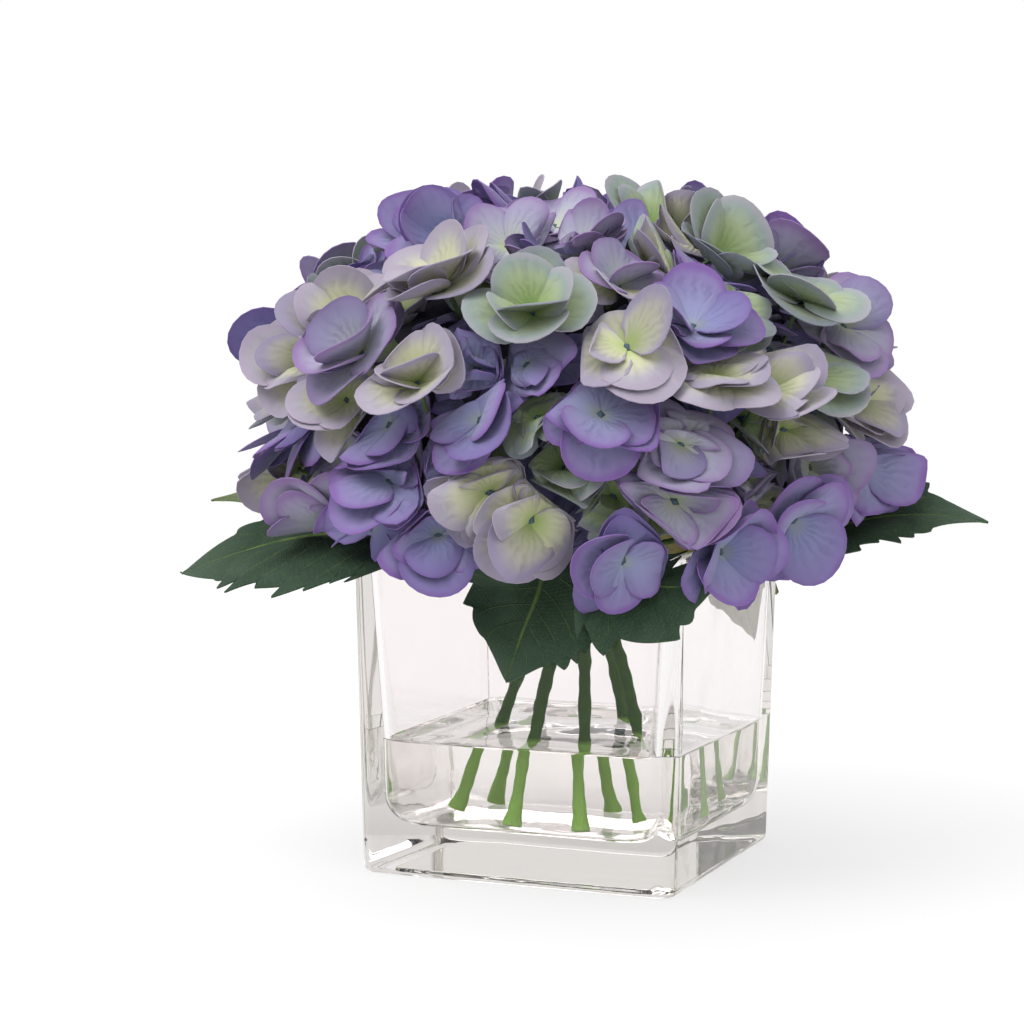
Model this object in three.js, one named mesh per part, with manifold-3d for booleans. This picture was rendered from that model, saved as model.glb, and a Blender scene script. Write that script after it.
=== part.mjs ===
// Hydrangeas in a square glass vase: six flower heads in one dome, their stems and leaves, and set clear water.
// Millimetres, +Z up. The origin is the middle of the vase's underside, and the vase's sides face X and Y.
import * as THREE from 'three';
import Module from 'manifold-3d';

const wasm = await Module();
wasm.setup();

// Vase: a pressed glass square, a little wider at its rim, with a thick base and a recess under it
const FOOT_SIDE = 114.3;
const VASE_HEIGHT = 114.3;
const FLARE = 0.0227;
const CORNER = 5;
const RIM_WALL = 4.5;
const WATER_WALL = 7.3;
const FLOOR_Z = 16.5;
const RECESS = { half: 47, depth: 1.8 };

// Water: its level, and the gap that every touching pair keeps
const WATER_Z = 46;
const GAP = 0.3;

// The side that the photograph shows: turns are counted from here, in degrees, to the right as seen from it
const FRONT = -69;

// Dome of florets: the surface on which the floret centres lie
const DOME = { radius: 104, middle: 160, up: 68, down: 60, fullness: 0.6 };

// Flower heads: five around and one on top. Their shared core lies this deep under the florets' centres
const CORE_INSET = 13;
const RING = { radius: 58, z: 150, turns: [-20, 52, 124, 196, 268] };
const TOP_Z = 186;

// Florets: four rounded petals each, thin at the rim and deeper around the centre. Those on the top and far side,
// which the photograph doesn't show, are fewer and larger
const PETAL = 25;
const BACK_PETAL = 30;
const PETAL_THICK = 0.8;
const PETALS = 4;
const PETAL_ROOT = 6;

// How low petals hang: over the vase, and beyond its sides from a first to a last distance
const LOWEST = { over: 122, beyond: 94, from: 4, to: 15 };

// Stems: where each stands on the floor of the vase, as [x, y], and the waist that they all pass
const STEM_RADIUS = 2.4;
const STEM_FOOT_RADIUS = 3.1;
const STEM_FOOT_Z = FLOOR_Z + 1.8;
const STEM_STATIONS = 10;
const STEM_SIDES = 7;
const STEM_FEET = { front: [-5, -38], right: [34, -3], back: [13, 36], back_left: [-30, 30], left: [-36, -3], top: [20, -37] };
const WAIST = { x: 3, y: 1, z: 104, radius: 8.5 };

// Leaves: the blade's thickness, and each stalk's half width, half thickness and start height on its stem
const LEAF_THICK = 0.8;
const LEAF_ROOM = 0.75;
const STALK = { wide: 1.5, thick: 1.1, z: 112 };

const MATERIALS = {
  glass: new THREE.MeshStandardMaterial({ color: 0xeef2f0, roughness: 0.03, metalness: 0, transparent: true, opacity: 0.3 }),
  water: new THREE.MeshStandardMaterial({ color: 0xf2f5f4, roughness: 0.02, metalness: 0, transparent: true, opacity: 0.3 }),
  stem: new THREE.MeshStandardMaterial({ color: 0x4f7d39, roughness: 0.6, metalness: 0 }),
  leaf: new THREE.MeshStandardMaterial({ color: 0x2c4730, roughness: 0.65, metalness: 0 }),
  petal: new THREE.MeshStandardMaterial({ color: 0x8f8ac4, roughness: 0.75, metalness: 0 }),
};

const radians = THREE.MathUtils.degToRad;
const vec = (x, y, z) => new THREE.Vector3(x, y, z);

// A point from its turn, its distance from the middle axis and its height
function around(turn, radius, z) {
  const angle = radians(FRONT + turn);
  return vec(radius * Math.cos(angle), radius * Math.sin(angle), z);
}

// An even draw from 0 to 1 that depends only on two whole numbers
function draw(index, salt) {
  const wave = Math.sin(index * 12.9898 + salt * 78.233) * 43758.5453;
  return wave - Math.floor(wave);
}

function toSolid(positions, triangles) {
  const mesh = new wasm.Mesh({
    numProp: 3,
    vertProperties: Float32Array.from(positions.flatMap((p) => [p.x, p.y, p.z])),
    triVerts: Uint32Array.from(triangles.flat()),
  });
  return new wasm.Manifold(mesh);
}

function solidToMesh(name, solid, material) {
  const data = solid.getMesh();
  const geometry = new THREE.BufferGeometry();
  geometry.setAttribute('position', new THREE.BufferAttribute(data.vertProperties, 3));
  geometry.setIndex(new THREE.BufferAttribute(data.triVerts, 1));
  geometry.computeVertexNormals();
  const mesh = new THREE.Mesh(geometry, material);
  mesh.name = name;
  return mesh;
}

// The largest piece of a solid, with loose scraps dropped and sealed hollows filled
function largestPiece(solid) {
  return solid.decompose().reduce((best, piece) => (piece.volume() > best.volume() ? piece : best));
}

// A solid of equal rings, each a list of points, closed at both ends by a point
function closeRings(first, rings, last) {
  const count = rings[0].length;
  const positions = [first, ...rings.flat(), last];
  const end = positions.length - 1;
  const at = (ring, k) => 1 + ring * count + (k % count);
  const triangles = [];
  for (let k = 0; k < count; k += 1) {
    triangles.push([0, at(0, k + 1), at(0, k)]);
    triangles.push([end, at(rings.length - 1, k), at(rings.length - 1, k + 1)]);
    for (let ring = 0; ring < rings.length - 1; ring += 1) {
      triangles.push([at(ring, k), at(ring, k + 1), at(ring + 1, k + 1)]);
      triangles.push([at(ring, k), at(ring + 1, k + 1), at(ring + 1, k)]);
    }
  }
  return toSolid(positions, triangles);
}

// Vase and water

// A square ring with rounded corners, counter-clockwise
function squareRing([half, corner, z]) {
  const steps = 3;
  const points = [];
  for (let side = 0; side < 4; side += 1) {
    const middle = radians(45 + 90 * side);
    for (let step = 0; step <= steps; step += 1) {
      const angle = middle + radians(90) * (step / steps - 0.5);
      const centre = (half - corner) * Math.SQRT2;
      points.push(vec(
        centre * Math.cos(middle) + corner * Math.cos(angle),
        centre * Math.sin(middle) + corner * Math.sin(angle),
        z,
      ));
    }
  }
  return points;
}

const outerHalf = (z) => FOOT_SIDE / 2 + FLARE * z;

// Half width of the vase's inside: the wall grows from the rim down to the water
function innerHalf(z) {
  const share = (VASE_HEIGHT - z) / (VASE_HEIGHT - WATER_Z);
  return outerHalf(z) - RIM_WALL - (WATER_WALL - RIM_WALL) * Math.min(share, 1);
}

// The inside's rounded bottom, from the floor up to the straight wall, as [half, corner, z]
const BOTTOM_ROUND = 11;
function bottomRows(inset) {
  const wall = innerHalf(FLOOR_Z + BOTTOM_ROUND) - inset;
  return [5, 30, 58, 90].map((degrees) => {
    const angle = radians(degrees);
    return [
      wall - BOTTOM_ROUND * (1 - Math.sin(angle)),
      CORNER + 1 - inset,
      FLOOR_Z + inset + BOTTOM_ROUND * (1 - Math.cos(angle)),
    ];
  });
}

function vase() {
  const rim = outerHalf(VASE_HEIGHT);
  const rows = [
    [RECESS.half, CORNER, RECESS.depth],
    [RECESS.half + 1.2, CORNER, 0],
    [outerHalf(0) - 2.4, CORNER - 1.2, 0],
    [outerHalf(0) - 0.7, CORNER - 0.3, 0.8],
    [outerHalf(0), CORNER, 2.6],
    [rim, CORNER, VASE_HEIGHT - 1.4],
    [rim - 0.7, CORNER, VASE_HEIGHT - 0.3],
    [rim - 1.6, CORNER, VASE_HEIGHT],
    [rim - RIM_WALL + 1.2, CORNER, VASE_HEIGHT],
    [rim - RIM_WALL, CORNER, VASE_HEIGHT - 1.4],
    [innerHalf(WATER_Z), CORNER + 1, WATER_Z],
    ...bottomRows(0).reverse(),
  ];
  return closeRings(vec(0, 0, RECESS.depth), rows.map(squareRing), vec(0, 0, FLOOR_Z));
}

function water(stems) {
  const rows = [
    ...bottomRows(GAP),
    [innerHalf(WATER_Z - 2) - GAP, CORNER + 1 - GAP, WATER_Z - 2],
    [innerHalf(WATER_Z) - GAP, CORNER + 1 - GAP, WATER_Z],
  ];
  const block = closeRings(vec(0, 0, FLOOR_Z + GAP), rows.map(squareRing), vec(0, 0, WATER_Z - 0.4));
  return largestPiece(wasm.Manifold.difference([block, ...stems]));
}

// Stems

// A round tube along a curve, a little thicker at its foot. Extra makes it longer and thicker on all sides
function tube(curve, extra) {
  const frames = curve.computeFrenetFrames(STEM_STATIONS, false);
  const centres = frames.tangents.map((_, i) => curve.getPointAt(i / STEM_STATIONS));
  centres[0].addScaledVector(frames.tangents[0], -extra);
  centres[STEM_STATIONS].addScaledVector(frames.tangents[STEM_STATIONS], extra);
  const rings = centres.map((centre, i) => {
    const radius = extra + (i === 0 ? STEM_FOOT_RADIUS : STEM_RADIUS);
    return Array.from({ length: STEM_SIDES }, (_, k) => {
      const angle = (2 * Math.PI * k) / STEM_SIDES;
      return centre.clone()
        .addScaledVector(frames.normals[i], radius * Math.cos(angle))
        .addScaledVector(frames.binormals[i], radius * Math.sin(angle));
    });
  });
  return closeRings(centres[0], rings, centres[STEM_STATIONS]);
}

const headPlaces = {
  front: around(RING.turns[0], RING.radius, RING.z),
  right: around(RING.turns[1], RING.radius, RING.z),
  back: around(RING.turns[2], RING.radius, RING.z),
  back_left: around(RING.turns[3], RING.radius, RING.z),
  left: around(RING.turns[4], RING.radius, RING.z),
  top: vec(0, 0, TOP_Z),
};
const HEADS = Object.keys(headPlaces);

// From its cut end on the floor, through the waist, up into its head's core
function stemCurve(name) {
  const [x, y] = STEM_FEET[name];
  const reach = Math.hypot(x, y);
  const waist = vec(WAIST.x + (WAIST.radius * x) / reach, WAIST.y + (WAIST.radius * y) / reach, WAIST.z);
  const foot = vec(x, y, STEM_FOOT_Z);
  const head = headPlaces[name];
  const low = foot.clone().lerp(waist, 0.5);
  const high = waist.clone().lerp(head, 0.45).add(vec(0, 0, 4));
  return new THREE.CatmullRomCurve3([foot, low, waist, high, head], false, 'centripetal');
}

const stemSolid = (name, extra) => tube(stemCurve(name), extra);

// Leaves

// Each leaf: where its stalk passes over the rim, its middle rib from there out to the tip, the widths of its
// left and right halves as seen looking outward, the way its upper face looks, how much its sides droop, its stem
const LEAVES = {
  left: {
    over: [-12, -58, 119],
    rib: [[-25, -67, 120.5], [-50, -71, 120.5], [-77, -72, 117], [-98, -72, 111], [-119, -72, 103.5]],
    halves: [36, 28], faces: [0, -0.5, 0.87], droop: 0, stem: 'left',
  },
  front: {
    over: [12, -50, 117],
    rib: [[15, -62, 116.2], [17, -70, 112.5], [16, -74, 103], [11, -76, 89], [6, -77, 72.5]],
    halves: [22, 31], faces: [0, -0.7, 0.7], droop: 0, stem: 'front',
  },
  front_right: {
    over: [34, -61, 119.5],
    rib: [[41, -75, 116.5], [52, -81, 110.5], [60, -82, 107], [79, -80, 108]],
    halves: [8, 24], faces: [0.1, -0.88, 0.47], droop: 0, stem: 'top',
  },
  right: {
    over: [50, -7, 118],
    rib: [[61, -6, 118.5], [84, 2, 119], [109, 8, 125], [128, 11, 126], [146, 12, 124]],
    halves: [26, 17], faces: [0, -0.53, 0.85], droop: 0.06, stem: 'right',
  },
  back_right: {
    over: [25, 50, 118],
    rib: [[28, 62, 118.5], [30, 70, 113], [33, 74.5, 101], [38, 76, 87], [43, 77, 71]],
    halves: [26, 26], faces: [0, 0.7, 0.7], droop: 0, stem: 'back',
  },
  back_left: {
    over: [-50, 21, 118],
    rib: [[-61, 22, 118.5], [-84, 16, 120], [-108, 8, 125], [-128, 3, 127], [-146, -3, 125]],
    halves: [22, 28], faces: [0, -0.4, 0.92], droop: 0.1, stem: 'back_left',
  },
};
const TEETH = 11;
const TOOTH = 2.4;

// Half width of a leaf from its base, at 0, to its tip, at 1
function leafHalf(share, half) {
  return half * Math.sin(Math.PI * Math.min(share ** 0.72, 1)) ** 0.8 * (1 - 0.25 * share);
}

// A blade of two halves along the rib. Each tooth has a station at its notch and one at its point
function leafSolid({ over, rib, halves, faces, droop, stem }, extra) {
  const ribPoints = rib.map((point) => vec(...point));
  const overRim = vec(...over);
  const start = stemStart(stem, overRim);
  const curve = new THREE.CatmullRomCurve3([start, overRim, ...ribPoints], false, 'centripetal');
  const bladeStart = curveShare(curve, ribPoints[0]);
  const stations = [0, 0.45, 0.75, 1].map((share) => share * bladeStart);
  const stalkEnd = stations.length - 1;
  for (let i = 1; i < 2 * TEETH; i += 1) stations.push(bladeStart + (1 - bladeStart) * (i / (2 * TEETH)) ** 1.1);
  const middle = [];
  const normals = [];
  stations.forEach((share, i) => {
    const centre = curve.getPointAt(share);
    const along = curve.getTangentAt(share);
    if (i === 0) centre.addScaledVector(along, -extra);
    const across = along.clone().cross(vec(...faces)).normalize();
    const normal = across.clone().cross(along).normalize();
    const blade = (share - bladeStart) / (1 - bladeStart);
    const tooth = i > stalkEnd + 1 && (i - stalkEnd) % 2 === 0 ? TOOTH : 0;
    const row = [-1, 0, 1].map((side) => {
      const spread = blade <= 0 || side === 0 ? 0 : leafHalf(blade, halves[side < 0 ? 0 : 1]) + tooth * (1 - blade);
      const point = centre.clone().addScaledVector(across, side * (spread + STALK.wide + extra));
      point.addScaledVector(normal, -droop * spread);
      if (side !== 0 && spread > 0) point.addScaledVector(along, 0.9 * tooth);
      return point;
    });
    middle.push(row);
    normals.push(normal);
  });
  const thick = (i) => (i <= stalkEnd ? STALK.thick : LEAF_THICK / 2) + extra;
  const tip = curve.getPointAt(1).addScaledVector(curve.getTangentAt(1), extra);
  return blade(middle, normals, thick, tip);
}

// A closed blade from rows of three points: the same triangles on both faces, a rim between them and one tip
function blade(rows, normals, thick, tip) {
  const positions = [];
  const count = rows.length;
  [1, -1].forEach((face) => rows.forEach((row, i) => row.forEach((point) => {
    positions.push(point.clone().addScaledVector(normals[i], face * thick(i)));
  })));
  const at = (face, i, j) => face * count * 3 + i * 3 + j;
  const top = [];
  for (let i = 0; i < count - 1; i += 1) {
    top.push([[i, 0], [i, 1], [i + 1, 1]], [[i, 0], [i + 1, 1], [i + 1, 0]]);
    top.push([[i, 1], [i, 2], [i + 1, 1]], [[i, 2], [i + 1, 2], [i + 1, 1]]);
  }
  const triangles = [];
  top.forEach((corners) => {
    triangles.push(corners.map(([i, j]) => at(0, i, j)));
    triangles.push(corners.map(([i, j]) => at(1, i, j)).reverse());
  });
  const wall = (a, b) => {
    triangles.push([at(0, ...b), at(0, ...a), at(1, ...a)], [at(0, ...b), at(1, ...a), at(1, ...b)]);
  };
  wall([0, 0], [0, 1]);
  wall([0, 1], [0, 2]);
  for (let i = 0; i < count - 1; i += 1) {
    wall([i + 1, 0], [i, 0]);
    wall([i, 2], [i + 1, 2]);
  }
  const tipIndex = positions.push(tip) - 1;
  const last = count - 1;
  triangles.push([at(0, last, 0), at(0, last, 1), tipIndex], [at(0, last, 1), at(0, last, 2), tipIndex]);
  triangles.push([at(1, last, 1), at(1, last, 0), tipIndex], [at(1, last, 2), at(1, last, 1), tipIndex]);
  triangles.push([at(1, last, 0), at(0, last, 0), tipIndex], [at(0, last, 2), at(1, last, 2), tipIndex]);
  return toSolid(positions, triangles);
}

// Where along a curve, by length, it passes nearest to a point
function curveShare(curve, point) {
  let best = 0;
  for (let i = 0; i <= 200; i += 1) {
    if (curve.getPointAt(i / 200).distanceTo(point) < curve.getPointAt(best).distanceTo(point)) best = i / 200;
  }
  return best;
}

// A leaf stalk starts against its stem, on the side that faces the leaf
function stemStart(stem, towards) {
  const curve = stemCurve(stem);
  let share = 0;
  while (curve.getPointAt(share).z < STALK.z) share += 0.005;
  const centre = curve.getPointAt(share);
  const along = curve.getTangentAt(share);
  const outwards = towards.clone().sub(centre);
  outwards.addScaledVector(along, -outwards.dot(along)).normalize();
  return centre.addScaledVector(outwards, STEM_RADIUS + 2 * GAP + STALK.wide);
}

// Florets

// Places on the dome as [turn, rise] in degrees. The front ones follow the photograph
const FRONT_FLORETS = [
  [-44, 54], [-58, 32], [-30, 36], [-8, 27], [0, 54], [32, 62], [52, 50], [30, 22], [58, 28], [-60, 8],
  [-43, 10], [-25, 9], [-6, 5], [11, 14], [4, -13], [21, -8], [38, 2], [53, 8], [69, 2],
  [41, -20], [56, -20], [73, -22], [-54, -14], [-37, -12], [-19, -13], [-11, -33], [-60, -34],
  [-35, -42], [9, -45], [24, -33], [43, -45], [18, 41], [79, 26],
];

// The far side: rows at a few rises, florets evenly spaced and every other row set over by half a step, all a little
// farther out, so that the bunch reaches as far back as forward
const BACK_ROWS = [[-34, 6], [-10, 6], [14, 6], [38, 4], [62, 3]];
const BACK_SPAN = [84, 286];
const BACK_OUT = 5.3;
const TOP_FLORETS = [[10, 78], [130, 78], [250, 78]];

function floretPlaces() {
  const places = [...FRONT_FLORETS, ...TOP_FLORETS];
  BACK_ROWS.forEach(([rise, count], row) => {
    for (let i = 0; i < count; i += 1) {
      const share = (i + (row % 2 ? 0.25 : 0.75)) / count;
      places.push([BACK_SPAN[0] + (BACK_SPAN[1] - BACK_SPAN[0]) * share, rise + 5 * (draw(i, row) - 0.5)]);
    }
  });
  return places;
}

const DOME_MIDDLE = vec(0, 0, DOME.middle);

// A point of the dome. Its lower half is fuller than an ellipse
function domePoint(turn, rise) {
  const cosine = Math.cos(radians(rise));
  const sine = Math.sin(radians(rise));
  const radius = DOME.radius * (sine < 0 ? cosine ** DOME.fullness : cosine);
  return around(turn, radius, DOME.middle + sine * (sine < 0 ? DOME.down : DOME.up));
}

function nearestHead(point) {
  return HEADS.reduce((best, name) => (
    point.distanceTo(headPlaces[name]) < point.distanceTo(headPlaces[best]) ? name : best));
}

// The planes halfway between a head and each other head, as a point and the direction of the other
function cellWalls(name) {
  return HEADS.filter((other) => other !== name).map((other) => ({
    point: headPlaces[name].clone().lerp(headPlaces[other], 0.5),
    normal: headPlaces[other].clone().sub(headPlaces[name]).normalize(),
  }));
}

// Softly keeps a distance above a least value: far above it nothing changes
const softLimit = (distance, least, soft) => least + soft * Math.log1p(Math.exp((distance - least) / soft));

// Bends a point back into its head's own cell, and clear of the vase and the leaves over its rim
function bendClear(point, walls) {
  walls.forEach(({ point: onWall, normal }) => {
    const inside = onWall.clone().sub(point).dot(normal);
    point.addScaledVector(normal, inside - softLimit(inside, 0.8, 3));
  });
  const beyond = Math.max(Math.abs(point.x), Math.abs(point.y)) - outerHalf(VASE_HEIGHT);
  const least = LOWEST.over + (LOWEST.beyond - LOWEST.over) * THREE.MathUtils.smoothstep(beyond, LOWEST.from, LOWEST.to);
  point.z = softLimit(point.z, least, 2.5);
  return point;
}

// Outline of a petal as [degrees, share of its length]: its tip between two shoulders, and the notch after it
const OUTLINE = [[-27, 0.93], [0, 1], [27, 0.93], [45, 0.6]];

// A floret: a thin waved blade of four petals, whose underside runs down to a stalk in the head's core
function floretSolid(place, index, headName) {
  const centre = domePoint(...place);
  if (index >= FRONT_FLORETS.length + TOP_FLORETS.length) centre.add(around(place[0], BACK_OUT, 0));
  const head = headPlaces[headName];
  const fromHead = centre.clone().sub(head);
  const fromMiddle = centre.clone().sub(DOME_MIDDLE).normalize();
  const axis = fromHead.clone().normalize().lerp(fromMiddle, 0.75);
  axis.z *= axis.z < 0 ? 0.4 : 1;
  axis.normalize();
  const side = vec(0, 0, 1).cross(axis).normalize();
  const upward = axis.clone().cross(side);
  const tilt = 0.25 * draw(index, 1);
  const tiltWay = 2 * Math.PI * draw(index, 2);
  axis.addScaledVector(side, tilt * Math.cos(tiltWay)).addScaledVector(upward, tilt * Math.sin(tiltWay)).normalize();
  const right = upward.clone().cross(axis).normalize();
  const up = axis.clone().cross(right);
  const longest = index < FRONT_FLORETS.length ? PETAL : BACK_PETAL;
  const length = longest * (0.92 + 0.16 * draw(index, 3));
  const spin = radians(90) * draw(index, 4);
  const lift = 5 * (draw(index, 5) - 0.6);
  const cup = 4 + 4 * draw(index, 6);
  const walls = cellWalls(headName);

  const place3d = (degrees, share, height) => {
    const angle = radians(degrees) + spin;
    const point = centre.clone().addScaledVector(axis, lift + height);
    point.addScaledVector(right, length * share * Math.cos(angle));
    point.addScaledVector(up, length * share * Math.sin(angle));
    return bendClear(point, walls);
  };
  const top = [place3d(0, 0, -1)];
  for (let k = 0; k < 2 * PETALS; k += 1) top.push(place3d(45 * k, 0.34, k % 2 ? -0.5 : 0.6));
  for (let petal = 0; petal < PETALS; petal += 1) {
    OUTLINE.forEach(([degrees, share]) => {
      const height = share < 0.9 ? 0.2 * cup : cup * share ** 2 + (petal % 2 ? 1.5 : -1);
      top.push(place3d(90 * petal + degrees, share, height));
    });
  }
  const inner = (k) => 1 + (k % (2 * PETALS));
  const outer = (k) => 1 + 2 * PETALS + (k % (OUTLINE.length * PETALS));
  const faces = [];
  for (let petal = 0; petal < PETALS; petal += 1) {
    const [middle, notch, next] = [0, 1, 2].map((k) => inner(2 * petal + k));
    const [near, tip, far, gap, other] = [0, 1, 2, 3, 4].map((k) => outer(OUTLINE.length * petal + k));
    faces.push([0, middle, notch], [0, notch, next], [middle, near, tip], [middle, tip, far]);
    faces.push([middle, far, notch], [notch, far, gap], [notch, gap, other], [notch, other, next]);
  }
  const bottom = underside(top, faces);
  bottom[0] = domePoint(...place).sub(DOME_MIDDLE).multiplyScalar(0.75).add(DOME_MIDDLE);
  for (let k = 1; k <= 2 * PETALS; k += 1) bottom[k].addScaledVector(axis, -PETAL_ROOT);
  const positions = [...top, ...bottom];
  const shift = top.length;
  const triangles = faces.flatMap((face) => [face, [face[2] + shift, face[1] + shift, face[0] + shift]]);
  for (let k = 0; k < OUTLINE.length * PETALS; k += 1) {
    const a = outer(k);
    const b = outer(k + 1);
    triangles.push([a, a + shift, b + shift], [a, b + shift, b]);
  }
  return toSolid(positions, triangles);
}

// The other face of a thin sheet: each point moved by the blade's thickness against the sheet's normal there
function underside(points, faces) {
  const normals = points.map(() => vec(0, 0, 0));
  faces.forEach(([a, b, c]) => {
    const normal = points[b].clone().sub(points[a]).cross(points[c].clone().sub(points[a]));
    [a, b, c].forEach((corner) => normals[corner].add(normal));
  });
  return points.map((point, i) => point.clone().addScaledVector(normals[i].normalize(), -PETAL_THICK));
}

// The core that all florets grow out of: the dome drawn in by an even amount
function coreSolid() {
  const inset = 1 - CORE_INSET / DOME.radius;
  const shrink = (turn, rise) => domePoint(turn, rise).sub(DOME_MIDDLE).multiplyScalar(inset).add(DOME_MIDDLE);
  const turns = Array.from({ length: 20 }, (_, i) => 18 * i);
  const rings = [-50, -30, -10, 10, 30, 50, 70].map((rise) => turns.map((turn) => shrink(turn, rise)));
  return closeRings(shrink(0, -90), rings, shrink(0, 90));
}

function headSolid(name, florets, keepClear) {
  let solid = wasm.Manifold.union([coreSolid(), ...florets]);
  cellWalls(name).forEach(({ point, normal }) => {
    const offset = -point.dot(normal) + GAP / 2;
    solid = solid.trimByPlane(normal.clone().negate().toArray(), offset);
  });
  solid = wasm.Manifold.difference([solid, ...keepClear]);
  return largestPiece(solid).asOriginal().simplify(0.15);
}

function build() {
  const group = new THREE.Group();
  group.add(solidToMesh('vase', vase(), MATERIALS.glass));
  group.add(solidToMesh('water', water(HEADS.map((name) => stemSolid(name, GAP))), MATERIALS.water));
  HEADS.forEach((name) => group.add(solidToMesh(`stem_${name}`, stemSolid(name, 0), MATERIALS.stem)));
  const leafNames = Object.keys(LEAVES);
  leafNames.forEach((name) => {
    group.add(solidToMesh(`leaf_${name}`, leafSolid(LEAVES[name], 0), MATERIALS.leaf));
  });

  const florets = Object.fromEntries(HEADS.map((name) => [name, []]));
  floretPlaces().forEach((place, index) => {
    const name = nearestHead(domePoint(...place));
    florets[name].push(floretSolid(place, index, name));
  });
  const leafRoom = leafNames.map((name) => leafSolid(LEAVES[name], LEAF_ROOM));
  const stemRoom = HEADS.map((name) => stemSolid(name, GAP));
  HEADS.forEach((name) => {
    const solid = headSolid(name, florets[name], [...leafRoom, ...stemRoom]);
    group.add(solidToMesh(`head_${name}`, solid, MATERIALS.petal));
  });
  return group;
}

export default build();
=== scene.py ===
import bpy
import numpy as np
from mathutils import Matrix


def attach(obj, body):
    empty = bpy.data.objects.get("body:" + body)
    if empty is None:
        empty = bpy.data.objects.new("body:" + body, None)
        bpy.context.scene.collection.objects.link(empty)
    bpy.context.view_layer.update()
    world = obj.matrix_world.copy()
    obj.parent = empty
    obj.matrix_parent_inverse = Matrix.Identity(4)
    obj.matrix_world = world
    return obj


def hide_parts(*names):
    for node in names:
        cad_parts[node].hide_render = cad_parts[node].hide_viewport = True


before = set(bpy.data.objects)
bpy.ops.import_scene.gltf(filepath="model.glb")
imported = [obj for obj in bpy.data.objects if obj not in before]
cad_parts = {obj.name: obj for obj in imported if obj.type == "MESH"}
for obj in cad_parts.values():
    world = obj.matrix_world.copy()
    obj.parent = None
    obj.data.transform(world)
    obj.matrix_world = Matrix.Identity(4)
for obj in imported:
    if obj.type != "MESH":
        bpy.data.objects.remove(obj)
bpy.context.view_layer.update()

# Sizes are in millimetres until a mesh is made
MM = 0.001
SEED = 20

# Vase
VASE_HEIGHT = 114.3
FOOT_HALF = 57.15
FOOT_ROUND = 2.6
HELD_BY = 0.8
FLARE = 0.0227
CORNER = 5
CORNER_INSIDE = 6
RIM_WALL = 4.5
RIM_ROUND = 1.7
RIM_ROUND_INSIDE = 1.4
WATER_WALL = 7.3
FLOOR_Z = 16.5
BOTTOM_ROUND = 11

# Pressed-in underside, and the points of its edge: how far out from it, and how high
RECESS_HALF = 47
RECESS_DEPTH = 1.8
RECESS_EDGE = [(0.35, 1.45), (1.2, 0.1), (1.9, 0)]

# Half widths of the two rings that carry each flat square
FLAT_INNER = 8
FLAT_OUTER = 30

# What glass and water mirror is dimmed
MIRROR_TINT = (0.4, 0.4, 0.4, 1)

# Water: its level, the height and reach of its lip, its rings as distances in from the wall, and how many
# of them have no ripples
WATER_Z = 46
WATER_SUNK = 0.2
WATER_INTO_GLASS = 0.2
LIP_HEIGHT = 1.0
LIP_REACH = 1.4
WATER_RINGS = [0.0, 0.5, 1.2, 2.2, 3.6, 5.5, 8, 12, 16, 20, 24, 28, 32, 36, 40, 44, 47]
CALM_RINGS = 3

# Turns are counted in degrees from the side that the photograph shows, to the right as seen from it
FRONT = -69

# Dome on which the florets' middles lie, and the six heads that share it
DOME_RADIUS = 104
DOME_MIDDLE = 160
DOME_UP = 68
DOME_DOWN = 60
DOME_FULLNESS = 0.6
DOME_HEART = 157.5
CORE_SHARE = 0.86
HEAD_RADIUS = 58
HEAD_Z = 150
HEAD_TURNS = {"front": -20, "right": 52, "back": 124, "back_left": 196, "left": 268}
TOP_HEAD_Z = 186

# Stems: where each stands on the floor of the vase, and the waist that they all pass
STEM_RADIUS = 2.4
STEM_FOOT_Z = 17.6
STEM_FEET = {
    "front": (-5, -38),
    "right": (34, -3),
    "back": (13, 36),
    "back_left": (-30, 30),
    "left": (-36, -3),
    "top": (20, -37),
}
WAIST = (3, 1, 104)
WAIST_RADIUS = 8.5
STEM_RINGS = 90
STEM_SIDES = 15
STEM_RIBS = 5
RIB_DEPTH = 0.13
KNUCKLES = 8
KNUCKLE_GAP = (14, 26)
KNUCKLE_SWELL = 0.38
KNUCKLE_REACH = 2.2
CUT_SWELL = 1.9
CUT_REACH = 4.5

# Leaves: how many side veins there are and how far they slant, and where the long tip starts
LEAF_THICK = 0.5
LEAF_COLUMNS = 17
ROWS_A_TOOTH = 9
SIDE_VEINS = 8.5
VEIN_SLANT = 1.9
DRIP_FROM = 0.7

# Leaf stalks: the height at which they leave a stem, both ends' radii, and how far under the rib they run
STALK_Z = 112
STALK_RINGS = 60
STALK_RADII = (1.25, 0.25)
STALK_UNDER = 0.45


# Numbers and vectors


def unit(vectors):
    """Every vector divided by its own length."""
    return vectors / np.maximum(np.linalg.norm(vectors, axis=-1, keepdims=True), 1e-9)


def around(turn, radius, z):
    """A point from its turn about the middle axis, its distance from that axis and its height."""
    angle = np.radians(FRONT + np.asarray(turn, float))
    return np.stack(np.broadcast_arrays(radius * np.cos(angle), radius * np.sin(angle), z), axis=-1)


def dome_point(turn, rise, grow=0.0):
    """A point of the dome: a circle's cosine and sine scaled by its radius and height, with the cosine
    raised to a small power below the middle, so that the lower half is fuller than an ellipse."""
    cosine = np.cos(np.radians(rise))
    sine = np.sin(np.radians(rise))
    below = sine < 0
    radius = (DOME_RADIUS + grow) * np.where(below, cosine**DOME_FULLNESS, cosine)
    height = DOME_MIDDLE + sine * np.where(below, DOME_DOWN, DOME_UP + grow)
    return around(turn, radius, height)


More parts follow.
